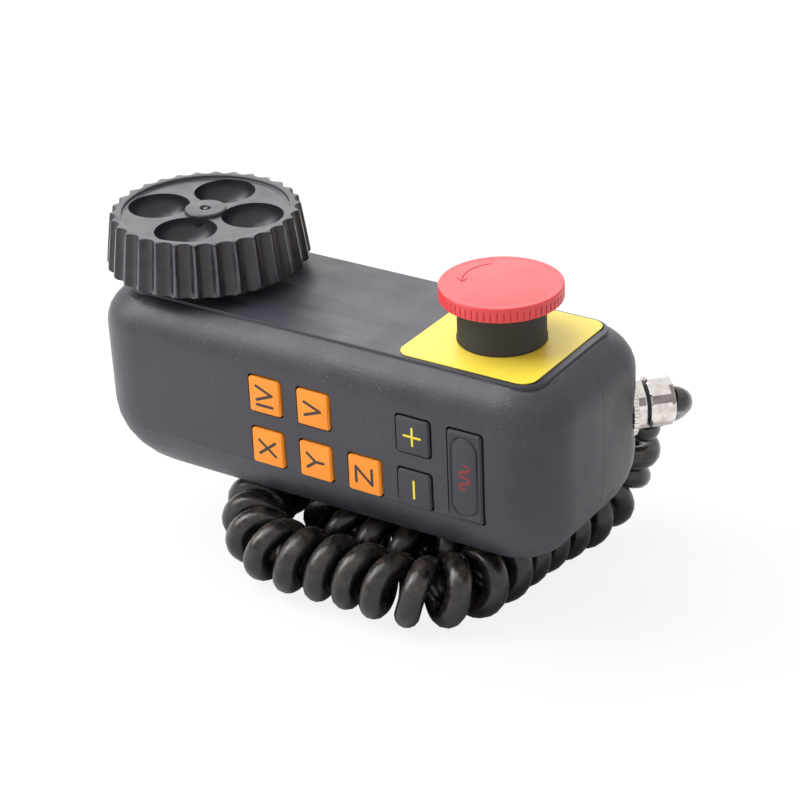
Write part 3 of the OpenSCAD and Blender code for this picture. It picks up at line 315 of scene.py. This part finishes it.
# Polyamide mushroom head: signal red, semi-gloss
signal_red = moulded("semi_gloss_polyamide_red", "#de3b40", "#e44448", rough=0.38, grain=0.5, depth=0.006, mottle=20)
# Glass-filled polyamide collar: dead matte brown-black
collar_black = moulded("matte_polyamide_black", "#211e1b", "#2b2723", rough=0.62, grain=0.5, depth=0.02,
                       speck=("#5a5347", 0.3))
# Silicone-soft key caps in orange and in black
cap_orange = moulded("soft_touch_orange", "#f0890f", "#f28f18", rough=0.5, grain=0.4, depth=0.006, mottle=10)
cap_black = moulded("soft_touch_black", "#24262d", "#2b2d35", rough=0.42, grain=0.4, depth=0.006, mottle=10)
# Grooves of the red head: its own red in shade
groove_red = moulded("shaded_groove_red", "#bc3036", "#c4383e", rough=0.6, grain=0.5, depth=0.002)
# The same grooves in painted shade, darker and duller on the far side from the wheel
far_groove_shade = moulded("far_groove_painted_shade", "#5c3436", "#4a3032", rough=0.7, grain=0.5, depth=0.004)
# The arrow cut into the head: a darker, duller red line, painted as the shade in its cut
arrow_painted_shade = moulded("arrow_red_painted_shade", "#a8242a", "#b42a30", rough=0.6, grain=0.5, depth=0.002)
# Screen-printed inks: flat, crisp and dull, in brown black, yellow and dark red
ink_dark = moulded("printed_ink_brown_black", "#33251f", "#3c2c24", rough=0.6, grain=0.5, depth=0.002)
ink_yellow = moulded("printed_ink_yellow", "#e6cf2c", "#ecd63a", rough=0.6, grain=0.5, depth=0.002)
ink_red = moulded("printed_ink_dull_red", "#6f2429", "#782a2e", rough=0.6, grain=0.5, depth=0.002)
# Polyurethane cord sheath: satin black, brown dust where it faces up
sheath = moulded("satin_polyurethane_black", "#0f0f12", "#17171a", rough=0.26, grain=1.2, depth=0.01, mottle=9,
                 dust=("#5a4e47", 0.8, 4.0, -0.1, 0.7))
# Seal rubber: dead black without a highlight
rubber = moulded("matte_rubber_black", "#131313", "#1a1a1a", rough=0.7, grain=0.5, depth=0.02)
# Nickel plate on turned brass: bright, faintly warm
nickel = metal("nickel_plate_bright", "#e4dedb", "#bdb3ab", rough=0.25)
# The same plating on the turned upper corners and dome: fine tool lines in its bump, and a darker colour that is a
# painted dark reflection
nickel_dark_reflection = metal("nickel_painted_dark_reflection", "#8d8582", "#6a6260", rough=0.3, brush=0.35, depth=0.012)
# Blackened steel of the hub screw: a dark sheen. The same dark metal on the gland's neck is painted shade in the gap
# between body and nut
blackened_and_neck_shade = metal("blackened_steel_and_painted_neck_shade", "#3a3a3e", "#2a2928", rough=0.4)
# Zinc plate of the screws and magnets: dull silver
zinc = metal("zinc_plate", "#c9cacc", "#a9a9ab", rough=0.38)
# Ground steel of shaft, bearings and spring: cool grey with a tighter shine
steel = metal("ground_steel", "#bdbdbf", "#9c9c9e", rough=0.3)
# Turned aluminium of the generator's flange: the palest metal
alloy = metal("turned_aluminium", "#cfd1d3", "#b7b8ba", rough=0.35)
# Gold flash on the plug's contacts: small warm sparks
gold = metal("gold_flash", "#e7c169", "#cfa44c", rough=0.28)
# Glass epoxy of the boards: deep green under lacquer
resin = moulded("glass_epoxy_green", "#14562f", "#1a6438", rough=0.35, grain=0.6, depth=0.01)
# Plain polyamide of the inner blocks: smooth near-black
inner_black = moulded("plain_polyamide_black", "#1f2022", "#27282a", rough=0.5, grain=0.5, depth=0.01)
# The plug's insulator: dull ivory behind the contacts
ivory = moulded("insulator_ivory", "#cfc8b6", "#d6d0c0", rough=0.5, grain=0.5, depth=0.01)
# The coated code disc: a cold, glossy blue grey
clear_disc = moulded("coated_disc_blue_grey", "#6e7c84", "#7b8890", rough=0.15, grain=0.5, depth=0.001)


# ------------------------------------------------------------------ cord
def blend_point(a, b, c, d, t):
    """A point between b and c on the smooth line through four points."""
    return 0.5 * (2 * b + (c - a) * t + (2 * a - 5 * b + 4 * c - d) * t * t + (3 * b - a - 3 * c + d) * t ** 3)


def smooth_path(points, steps):
    """A smooth line through the points, with so many steps between each two."""
    p = [np.array(q, float) for q in points]
    last = len(p) - 1
    out = [blend_point(p[max(i - 1, 0)], p[i], p[i + 1], p[min(i + 2, last)], k / steps)
           for i in range(last) for k in range(steps)]
    return np.array(out + [p[last]])


CORD_D = 8.8          # sheath, mm
CURL_D = 25.0         # outside of the curl, mm
PITCH = 11.6          # of the curl where it lies relaxed, mm
PER_TURN = 24         # points to a turn of the curl
START = 1.2           # where the first turn starts, radians
FIRST_TURN = 0.9      # part of a turn in which the curl opens from the straight cord
FLOOR = -71.3         # height of the surface that it lies on, mm
LIE = FLOOR + CURL_D / 2
# Routes in mm: out of the gland, down to the floor, round under the housing, and out behind it to the plug
LEAD = [(98.7, 39.95, -6.3), (99.9, 41.5, -6.9), (99.9, 44.3, -8.6), (98.6, 47.2, -11.2), (96.0, 49.6, -14.3),
        (92.4, 51.3, -17.6), (87.6, 52, -20.9), (82.2, 52.6, -24)]
DOWN = [(82.2, 52.6, -24), (77.8, 54.4, -30), (74, 56.2, -37), (71.4, 56.6, -44), (69.7, 54.8, -51),
        (68.4, 49.6, -56.4)]
ROUND = [(66.8, 41.5), (64.4, 31.5), (62, 20.5), (60.3, 9.5), (59.4, -2), (58.6, -12.5), (55.8, -22.5), (50, -30),
         (41.5, -34.3), (31, -35.2), (19, -34.8), (7, -35.4), (-5, -36), (-16.5, -33.8), (-26.5, -27), (-33.8, -17),
         (-38.3, -5), (-37.5, 8.5), (-28, 16), (-17, 12.5), (-11.5, 2), (-5.5, -7.3), (5, -11.5), (17, -12),
         (28, -10.5), (36, -3.5), (38.5, 8), (35.5, 20), (28, 30), (16, 38.5), (2, 46.5), (-13, 55), (-28, 65)]
CURL = DOWN + [(x, y, LIE) for x, y in ROUND]
TAIL = [CURL[-1], (-34, 67.1, -58.6), (-40, 68, -58.2), (-46, 68, -58.2)]


def even(points, step):
    """The same line with points at even steps along it."""
    d = np.r_[0, np.cumsum(np.linalg.norm(np.diff(points, axis=0), axis=1))]
    s = np.linspace(0, d[-1], max(2, int(round(d[-1] / step)) + 1))
    return np.stack([np.interp(s, d, points[:, k]) for k in range(3)], 1), d[-1]


def curl_line():
    """Centre line of the whole cord: lead, curl wound round its middle line, tail."""
    lead, _ = even(smooth_path(LEAD, 10), 3.0)
    tail, _ = even(smooth_path(TAIL, 10), 3.0)
    middle, length = even(smooth_path(CURL, 12), PITCH / PER_TURN)
    turns = round(length / PITCH)
    ahead = np.gradient(middle, axis=0)
    ahead /= np.linalg.norm(ahead, axis=1)[:, None]
    side = np.zeros_like(middle)
    v = np.cross(ahead[-1], (0, 0, 1.0))
    for i in reversed(range(len(middle))):
        v = v - ahead[i] * np.dot(v, ahead[i])
        v /= np.linalg.norm(v)
        side[i] = v
    up = np.cross(side, ahead)
    s = np.linspace(0, 1, len(middle))
    r = (CURL_D - CORD_D) / 2
    ramp = np.clip(np.minimum(s, 1 - s) * turns / FIRST_TURN, 0, 1)
    ramp = ramp * ramp * (3 - 2 * ramp)
    a = 2 * math.pi * turns * s + START
    line = middle + (r * ramp)[:, None] * (np.cos(a)[:, None] * side + np.sin(a)[:, None] * up)
    return np.concatenate([lead[:-1], line, tail[1:]]) * MM


line = curl_line()
curve = bpy.data.curves.new("cord", "CURVE")
curve.dimensions = "3D"
curve.bevel_depth = CORD_D / 2 * MM
curve.bevel_resolution = 5
curve.use_fill_caps = True
curve.twist_mode = "MINIMUM"
spline = curve.splines.new("POLY")
spline.points.add(len(line) - 1)
for p, q in zip(spline.points, line):
    p.co = (*q, 1)
spline.use_smooth = True
curve.materials.append(sheath)
cord = bpy.data.objects.new("curly_cord", curve)
bpy.context.scene.collection.objects.link(cord)
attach(cord, "housing")
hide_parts("cord_lead", "cord_curl", "cord_tail")


# ------------------------------------------------------------------ housing and panel
END_REACH = 20.0      # length over which the wheel end is let out, mm
END_LOW = 1.6         # how far it goes out at the bottom, mm
END_MORE = 1.0        # and how much further at the top, mm
SEAM = 0.2            # how much of its seat's clearance the lid takes up on each side, mm


def fuller_end(bm):
    """Lets the wheel end of the housing out to its full length."""
    for v in bm.verts:
        near = 1 - (v.co.x - shell_low.x) / (END_REACH * MM)
        if near > 0:
            height = (v.co.z - shell_low.z) / (shell_high.z - shell_low.z)
            v.co.x -= (END_LOW + END_MORE * height) * MM * near


def fuller_lid(bm):
    """Lets the lid out with the housing, and each half of its outline out towards its seat."""
    fuller_end(bm)
    low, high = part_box("top_panel")
    middle = (low + high) / 2
    for v in bm.verts:
        v.co.x += math.copysign(SEAM, v.co.x - middle.x) * MM
        v.co.y += math.copysign(SEAM, v.co.y - middle.y) * MM


for part in ("front_shell", "rear_shell"):
    dress(part, abs_housing, (0.15, 2, 50), 30, fuller_end)
dress("top_panel", abs_panel, (0.12, 2, 30), 30, fuller_lid)
dress("warning_plate", foil, (0.12, 2, 40))


# ------------------------------------------------------------------ handwheel
FLUTES = 30
FLUTE_R = 3.3                        # radius of a flute's hollow, mm
FLUTE_DEPTH = 2.1
FLUTED_FROM = 31.0                   # radius inside which no flute cuts
WHEEL_R0, WHEEL_R1 = 35.5, 32.9      # radius at the lower and at the upper rim
WHEEL_Z0, WHEEL_Z1 = 28.0, 46.6      # their heights
FACE_Z, FACE_R = 45.5, 28.25         # height and radius of the flat face inside the rim
RIM_TOP = 45.7                       # above it the rim has no dust and no painted land highlight
LAND_Z, LAND_IN = 29.0, 0.16         # lands are polished and carry the painted highlight above this height and this close to the flank


def flank(z):
    """The rim's outer radius at a height."""
    return WHEEL_R0 + (WHEEL_R1 - WHEEL_R0) * (z - WHEEL_Z0) / (WHEEL_Z1 - WHEEL_Z0)


def fluted(r, z, a):
    """Radius of the rim: hollow flutes with rounded lands between them."""
    if r < FLUTED_FROM:
        return r
    step = 2 * math.pi / FLUTES
    off = (a / step) % 1 - 0.5
    x = min(abs(off) * step * flank(z), FLUTE_R * 0.98)
    f = math.sqrt(FLUTE_R ** 2 - x * x) - (FLUTE_R - FLUTE_DEPTH)
    # 0.03 rounds the edge between flute and land, and 0.02 brings the land back out to the flank
    return min(r, flank(z) - 0.5 * (f + math.sqrt(f * f + 0.03)) + 0.02)


def rim_finish(f):
    """Worn grip in the flutes, polished lands between them in a painted highlight, and plain moulding on top."""
    deep = flank(f.center.z / MM) - math.hypot(f.center.x - wheel_x, f.center.y) / MM
    if f.center.z > RIM_TOP * MM:
        return 2
    return 1 if deep < LAND_IN and f.center.z > LAND_Z * MM else 0


rim = ([(FACE_R, 43.1), (29.2, 42.1), (31.3, WHEEL_Z0 + 0.4), (31.7, WHEEL_Z0)]
       + round_corner(flank(WHEEL_Z0 + 1.2) - 1.1, WHEEL_Z0 + 1.1, 1.1, -90, -5)
       + [(flank(z), z) for z in (33, 36, 39, 42)]
       + round_corner(flank(45.8) - 0.8, 45.8, 0.8, 5, 90)
       + [(30.6, WHEEL_Z1)] + round_corner(29.4, 46.1, 0.5, 90, 180, 4) + [(28.8, 45.7), (FACE_R, FACE_Z)])
grip = piece("wheel_rim", moved(turned(rim, FLUTES * 18, fluted), (wheel_x, 0, 0)), phenolic_grip, "wheel",
             smooth=50)
# Lands in their painted highlight, flutes in the dusty grip, top plain
paint(grip, (land_painted_highlight, phenolic), rim_finish)

# The face: finger bowls sunk in a flat disc
BOWLS = 4
BOWL_AT = 17.4                       # their distance from the middle, mm
BOWL_R = 10.75                       # radius of a bowl at its mouth
BOWL_FLAT = 0.93                     # its depth as a share of that radius
BOWL_TURN = 14                       # where the first one is, degrees
bowl = [(BOWL_R * math.cos(math.radians(a)), FACE_Z - BOWL_R * BOWL_FLAT * math.sin(math.radians(a)))
        for a in range(0, 91, 6)]
face = bmesh.new()
for k in range(BOWLS):
    turn = math.radians(BOWL_TURN + k * 360 / BOWLS)
    hollow = bpy.data.meshes.new("bowl")
    bm = moved(turned(bowl, 72), (BOWL_AT * math.cos(turn) * MM, BOWL_AT * math.sin(turn) * MM, 0))
    bmesh.ops.reverse_faces(bm, faces=[f for f in bm.faces if f.normal.z < 0])
    bm.to_mesh(hollow)
    bm.free()
    face.from_mesh(hollow)
    bpy.data.meshes.remove(hollow)
bmesh.ops.create_circle(face, segments=FLUTES * 6, radius=FACE_R * MM,
                        matrix=Matrix.Translation((0, 0, FACE_Z * MM)))
bmesh.ops.triangle_fill(face, use_beauty=True, normal=(0, 0, 1),
                        edges=[e for e in face.edges if len(e.link_faces) < 2])
for f in face.faces:
    if f.normal.z < 0:
        f.normal_flip()
for e in face.edges:
    e.smooth = True
piece("wheel_face", moved(face, (wheel_x, 0, 0)), phenolic, "wheel", smooth=35, replaces=("handwheel",))
# The boss, with the end of its pin in the middle
boss = ([(0, 46.35), (0.9, 46.35), (1.1, 45.4), (1.8, 45.4), (1.8, 46.3), (2.2, 46.6), (6.3, 46.6)]
        + round_corner(6.5, 45.8, 0.8, 90, 0, 4) + [(7.3, 44.6), (7.3, 37.0)])
piece("wheel_boss", moved(turned(boss, 72), (wheel_x, 0, 0)), phenolic, "wheel", smooth=35)


def under_face(f):
    """Whether a face of the wheel's solid is part of its hub, below the bowls."""
    reach = max(math.hypot(v.co.x - wheel_x, v.co.y) for v in f.verts)
    return reach < 16 * MM and max(v.co.z for v in f.verts) < 34.5 * MM


piece("wheel_hub", from_node("handwheel", keep=under_face), phenolic, "wheel", smooth=35)


# ------------------------------------------------------------------ emergency stop
HEAD_R = 20.4
RIDGES = 60
KNURL_LOW, KNURL_HIGH = 39.2, 43.1   # heights between which the ridges run
GROOVE = 0.3                         # depth of the grooves between them
GROOVE_HALF = 0.24                   # and half their width
SHADE_FROM = 39.5                    # height from which a groove is shaded
SHADE_IN = 0.14                      # and how far in from the ridges
FAR_SIDE_FROM = 18.2                    # how far out along X the grooves turn darker
ROOF = 41.9                          # inside of the top, over the spring
SPRING_ROOM = 4.2                    # how far below the roof the spring stays, so that a push has room


def head_top(r):
    """Height of the head's gently domed top at a radius."""
    return 44.5 - 0.45 * (r / 18) ** 3


def knurl(r, z, a):
    """Narrow grooves between flat ridges on the head's flank; they run out over the top half millimetre."""
    if r < HEAD_R - 0.9 or not KNURL_LOW < z < KNURL_HIGH:
        return r
    off = abs((a * RIDGES / (2 * math.pi)) % 1 - 0.5) * 2 * math.pi * HEAD_R / RIDGES
    return r - GROOVE * min(1, (KNURL_HIGH - z) / 0.5) * math.exp(-(off / GROOVE_HALF) ** 2)


def head_finish(f):
    """Bare red, grooves in painted shade, and grooves darker still on the far side from the wheel."""
    out = math.hypot(f.center.x - estop_x, f.center.y)
    # inside 19 mm is the hollow, not a groove
    if not (SHADE_FROM * MM < f.center.z < KNURL_HIGH * MM and 19 * MM < out < (HEAD_R - SHADE_IN) * MM):
        return 0
    return 2 if f.center.x - estop_x > FAR_SIDE_FROM * MM else 1


head = ([(0, ROOF), (16.3, ROOF), (16.3, 40.0), (16.8, 39.0), (19.3, 39.0)]
        + round_corner(HEAD_R - 0.5, 39.55, 0.5, -60, 0, 3) + [(HEAD_R, z) for z in (40.2, 41, 41.8, 42.5, 43.1)]
        + round_corner(HEAD_R - 0.6, 43.5, 0.6, 0, 78, 5)
        + [(r, head_top(r)) for r in (19.1, 17.2, 15.5, 13, 10, 6, 2, 0)])
cap = piece("mushroom_cap", moved(turned(head, RIDGES * 10, knurl), (estop_x, 0, 0)), signal_red, "estop_head",
            smooth=50, replaces=("mushroom_head",))
# Grooves in painted shade, darker on the far side from the wheel
paint(cap, (groove_red, far_groove_shade), head_finish)
dress("estop_collar", collar_black, (0.25, 2, 40))
# The return spring, no taller than the room that a pushed head leaves
spring = from_node("estop_spring", flatten=0.01)
low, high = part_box("estop_spring")
short = (ROOF - SPRING_ROOM) * MM - low.z
for v in spring.verts:
    v.co.z = low.z + (v.co.z - low.z) * short / (high.z - low.z)
piece("return_spring", spring, steel, body_of("estop_spring"), 60, replaces=("estop_spring",))
# The collar's lip, which runs up inside the head
lip = ([(12.6, 34.6), (12.6, 37.0)] + round_corner(14.4, 36.6, 0.4, 90, 0, 3)
       + [(15.0, 34.9), (15.0, 34.2), (12.6, 34.6)])
piece("collar_lip", moved(turned(lip, 96), (estop_x, 0, 0)), collar_black, body_of("estop_collar"))


# ------------------------------------------------------------------ printed and engraved lines
def strokes(lines, width, thick=0.1):
    """Low rounded strokes with round ends along polylines given in mm in the XY plane."""
    bm = bmesh.new()
    flat = Matrix.Diagonal((1, 1, thick / width, 1))
    for points in lines:
        for (x0, y0), (x1, y1) in zip(points, points[1:]):
            laid = (Matrix.Translation(((x0 + x1) / 2, (y0 + y1) / 2, 0))
                    @ Matrix.Rotation(math.atan2(y1 - y0, x1 - x0), 4, "Z") @ flat
                    @ Matrix.Rotation(math.pi / 2, 4, "Y"))
            bmesh.ops.create_cone(bm, cap_ends=False, segments=16, radius1=width / 2, radius2=width / 2,
                                  depth=math.hypot(x1 - x0, y1 - y0), matrix=laid)
        for x, y in points:
            bmesh.ops.create_uvsphere(bm, u_segments=16, v_segments=8, radius=width / 2,
                                      matrix=Matrix.Translation((x, y, 0)) @ flat)
    bmesh.ops.scale(bm, verts=bm.verts, vec=(MM, MM, MM))
    return bm


def polar(r, degrees):
    """A point in the XY plane at a radius and an angle."""
    return r * np.array((math.cos(math.radians(degrees)), math.sin(math.radians(degrees))))


# The arrow on the head: an arc that closes in a little towards its point
TAIL_END, TIP = 133, 208             # where it starts and where its point is, degrees
STEPS = 24
arc = [polar(14.3 - 1.8 * (k / STEPS) ** 1.4, TAIL_END + (TIP - TAIL_END) * k / STEPS) for k in range(STEPS + 1)]
tip = arc[-1]
barbs = [tuple(tip + polar(length, TIP - 90 + turn)) for turn, length in ((-34, 2.5), (34, 3.4))]
arrow = strokes([[tuple(p) for p in arc], [barbs[0], tuple(tip), barbs[1]]], 0.6, 0.24)
for v in arrow.verts:
    v.co.z += head_top(math.hypot(v.co.x, v.co.y) / MM) * MM
# Its darker, duller red is painted shade in the engraved cut
piece("turn_arrow", moved(arrow, (estop_x, 0, 0)), arrow_painted_shade, "estop_head")

# ------------------------------------------------------------------ keys and their legends
KEY_LOW = Vector((-0.1, 0, -0.2)) * MM    # how far the caps hang down in their wells
KEY_GAP = 0.45                            # how much smaller than its well a cap is, mm


def key_cap(key, mat):
    """A key cap, a little smaller than its well all round."""
    bm = from_node(key)
    low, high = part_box(key)
    middle, size = (low + high) / 2, high - low
    bmesh.ops.translate(bm, verts=bm.verts, vec=-middle)
    bmesh.ops.scale(bm, verts=bm.verts, vec=(1 - KEY_GAP * MM / size.x, 1, 1 - KEY_GAP * MM / size.z))
    piece(key + "_finish", moved(bm, middle + KEY_LOW), mat, body_of(key), 60, (0.28, 3, 20), (key,))


for key in ("key_iv", "key_v", "key_x", "key_y", "key_z"):
    key_cap(key, cap_orange)
for key in ("key_plus", "key_minus", "key_rapid"):
    key_cap(key, cap_black)

# Letters are drawn upright in XY, then laid on their keys with their tops towards the wheel
LETTERS = {
    "X": ("key_x", [[(-2.5, -3.2), (2.5, 3.2)], [(-2.5, 3.2), (2.5, -3.2)]]),
    "Y": ("key_y", [[(-2.6, 3.2), (0, -0.2), (2.6, 3.2)], [(0, -0.2), (0, -3.2)]]),
    "Z": ("key_z", [[(-2.8, 3.1), (2.8, 3.1), (-2.8, -3.1), (2.8, -3.1)]]),
    "V": ("key_v", [[(-2.4, 3.1), (0, -3.1), (2.4, 3.1)]]),
    "IV": ("key_iv", [[(-3.4, 3.1), (-3.4, -3.1)], [(-1.6, 3.1), (1.0, -3.1), (3.5, 3.1)]]),
}


def on_key(bm, key):
    """Lays flat strokes on a key's face: their up goes to -X, their right to +Z."""
    low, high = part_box(key)
    turn = Matrix(((0, -1, 0, 0), (0, 0, -1, 0), (1, 0, 0, 0), (0, 0, 0, 1)))
    bmesh.ops.transform(bm, matrix=turn, verts=bm.verts)
    return moved(bm, Vector(((low.x + high.x) / 2, low.y, (low.z + high.z) / 2)) + KEY_LOW)


for letter, (key, lines) in LETTERS.items():
    piece("legend_" + letter.lower(), on_key(strokes(lines, 1.1), key), ink_dark, body_of(key))
BAR, POST = [(-3.1, 0), (3.1, 0)], [(0, -3.1), (0, 3.1)]
piece("legend_plus", on_key(strokes([BAR, POST], 0.8), "key_plus"), ink_yellow, body_of("key_plus"))
piece("legend_minus", on_key(strokes([BAR], 0.8), "key_minus"), ink_yellow, body_of("key_minus"))
# Two waves with full, round lobes: the line doubles back a little where it crosses the middle
phases = [4 * math.pi * i / 60 for i in range(61)]
wave = [(-4.4 + 8.8 / (4 * math.pi) * (t - 0.5 * math.sin(2 * t)), 1.7 * math.sin(t)) for t in phases]
piece("legend_rapid", on_key(strokes([wave], 1.15), "key_rapid"), ink_red, body_of("key_rapid"))

# ------------------------------------------------------------------ metal parts
GLAND_AF = 17.0                      # across flats, mm
GLAND_BACK = 27.76                   # from the nut's middle back to where the profiles count from
MILLED_FROM = 7.7                    # radius inside which no flat is milled
NECK_FROM = 22.45                    # along the gland, where its neck in painted shade starts
CORNER_R = 9.12                      # radius outside which the corners between the flats are turned, and carry the painted dark reflection on their upper side
DOME_FROM = 31.0                     # along the gland, where the nut's dome starts
gland_foot = gland_at - gland_axis * GLAND_BACK * MM


def six_flats(r, z, a):
    """A turned form milled to a hexagon with a corner straight up."""
    if r <= MILLED_FROM:
        return r
    return min(r, GLAND_AF / 2 / math.cos(math.radians(math.degrees(a) % 60 - 30)))


def gland_finish(f):
    """Milled plate, and the painted dark reflection on the turned upper corners and the dome's upper part."""
    off = (f.center - gland_foot) / MM
    along = off.dot(gland_axis)
    across = (off - gland_axis * along).length
    corner = across > CORNER_R and 0 < off.z < 7
    return 1 if corner or along > DOME_FROM and 2.5 < off.z < 7.5 else 0


def body_finish(f):
    """The same, and painted shade on the neck."""
    return 2 if (f.center - gland_foot).dot(gland_axis) > NECK_FROM * MM else gland_finish(f)


gland = [dress("gland_washer", nickel, (0.22, 2, 35))]
NUT = ([(6.6, 23.9), (8.6, 23.9), (9.2, 24.4), (9.2, 30.4)] + round_corner(6.6, 30.4, 2.6, 0, 85, 6)
       + [(5.3, 33.0), (5.3, 25.0), (6.6, 25.0), (6.6, 23.9)])
BODY = [(7.6, 9.0), (7.6, 18.55), (8.9, 18.55), (9.2, 18.8), (9.2, 22.0), (8.9, 22.4), (7.3, 22.4), (7.3, 26.0),
        (5.0, 26.0), (5.0, 9.0), (7.6, 9.0)]
for part, profile, finish in (("gland_body", BODY, body_finish), ("gland_nut", NUT, gland_finish)):
    bm = turned(profile, 360, six_flats)
    bmesh.ops.transform(bm, verts=bm.verts, matrix=Matrix.Translation(gland_foot)
                        @ Matrix.Rotation(math.radians(45), 4, "Z") @ Matrix.Rotation(math.radians(90), 4, "Y"))
    gland.append(piece(part + "_finish", bm, nickel, body_of(part), 14, replaces=(part,)))
    # Upper corners and dome in the painted dark reflection, the body's neck in painted shade
    paint(gland[-1], (nickel_dark_reflection, blackened_and_neck_shade), finish)
plug = [dress(part, nickel, (0.25, 2, 35)) for part in ("plug_nut", "plug_shell")]
dress("holding_magnets", zinc, (0.3, 2, 40))
# Parts whose solids are shown as they are, in their own materials
PLAIN = {
    zinc: ("shell_screws", "panel_screws", "flange_screws", "board_screws", "estop_nut"),
    blackened_and_neck_shade: ("hub_screw",),
    steel: ("encoder_shaft", "encoder_bearings"),
    alloy: ("encoder_flange",),
    inner_black: ("encoder_can", "contact_block", "key_switches"),
    resin: ("key_board", "encoder_board"),
    clear_disc: ("code_disc",),
    rubber: ("gland_seal",),
    nickel: ("gland_locknut",),
    ivory: ("plug_insert",),
    gold: ("plug_contacts",),
    signal_red: ("estop_plunger",),
}
for mat, parts in PLAIN.items():
    for part in parts:
        mesh = frame["nodes"][part].data
        mesh.materials.clear()
        mesh.materials.append(mat)

# ------------------------------------------------------------------ floor, light, world
PAPER_WHITE = 0.86                   # how much of the floor shows as plain white to the camera
ROOM_LIGHT = 0.62                    # strength of the light that the room throws on the object

floor_mesh = bpy.data.meshes.new("floor")
bm = bmesh.new()
bmesh.ops.create_grid(bm, x_segments=1, y_segments=1, size=3.0)
bmesh.ops.translate(bm, verts=bm.verts, vec=(0, 0, FLOOR * MM))
bm.to_mesh(floor_mesh)
bm.free()
floor = bpy.data.objects.new("floor", floor_mesh)
bpy.context.scene.collection.objects.link(floor)
floor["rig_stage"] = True
# Plain white paper: matt, and close to white to the camera while it keeps the shadow
m, t = material("white_paper_sweep")
path = add(t, "ShaderNodeLightPath")
paper = add(t, "ShaderNodeBsdfDiffuse", None, Color=srgb("#f2f2f2"))
glow = add(t, "ShaderNodeEmission", None, Color=(1, 1, 1, 1), Strength=1.0)
seen = add(t, "ShaderNodeMath", {"operation": "MULTIPLY"}, i0=path.outputs["Is Camera Ray"], i1=PAPER_WHITE)
mix = add(t, "ShaderNodeMixShader", None, i0=seen.outputs[0], i1=paper.outputs[0], i2=glow.outputs[0])
add(t, "ShaderNodeOutputMaterial", None, Surface=mix.outputs[0])
floor_mesh.materials.append(m)

world = bpy.data.worlds.new("white_room")
bpy.context.scene.world = world
world.use_nodes = True
t = world.node_tree
t.nodes.clear()
path = add(t, "ShaderNodeLightPath")
seen = add(t, "ShaderNodeMath", {"operation": "MAXIMUM"}, i0=path.outputs["Is Camera Ray"],
           i1=path.outputs["Is Glossy Ray"])
shown = add(t, "ShaderNodeMath", {"operation": "MAXIMUM"}, i0=seen.outputs[0],
            i1=path.outputs["Is Transmission Ray"])
level = add(t, "ShaderNodeMapRange", None, i0=shown.outputs[0], i1=0.0, i2=1.0, i3=ROOM_LIGHT, i4=1.0)
back = add(t, "ShaderNodeBackground", None, Color=(1, 1, 1, 1), Strength=level.outputs[0])
add(t, "ShaderNodeOutputWorld", None, Surface=back.outputs[0])


def lamp(name, place, size, power):
    """A soft rectangular lamp that faces the object; size is (width, height) in metres, power in watts."""
    data = bpy.data.lights.new(name, "AREA")
    data.shape = "RECTANGLE"
    data.size, data.size_y = size
    data.energy = power
    obj = bpy.data.objects.new(name, data)
    obj.location = place
    obj.rotation_euler = (-Vector(place)).to_track_quat("-Z", "Y").to_euler()
    bpy.context.scene.collection.objects.link(obj)


lamp("softbox_above", (-0.55, -0.15, 1.0), (1.1, 1.1), 12)
lamp("softbox_behind", (-0.62, 0.86, 0.56), (1.2, 0.8), 4.5)
lamp("softbox_left", (-0.9, -0.5, 0.7), (0.6, 0.8), 6)

bpy.context.scene.view_settings.view_transform = "Standard"
low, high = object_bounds()
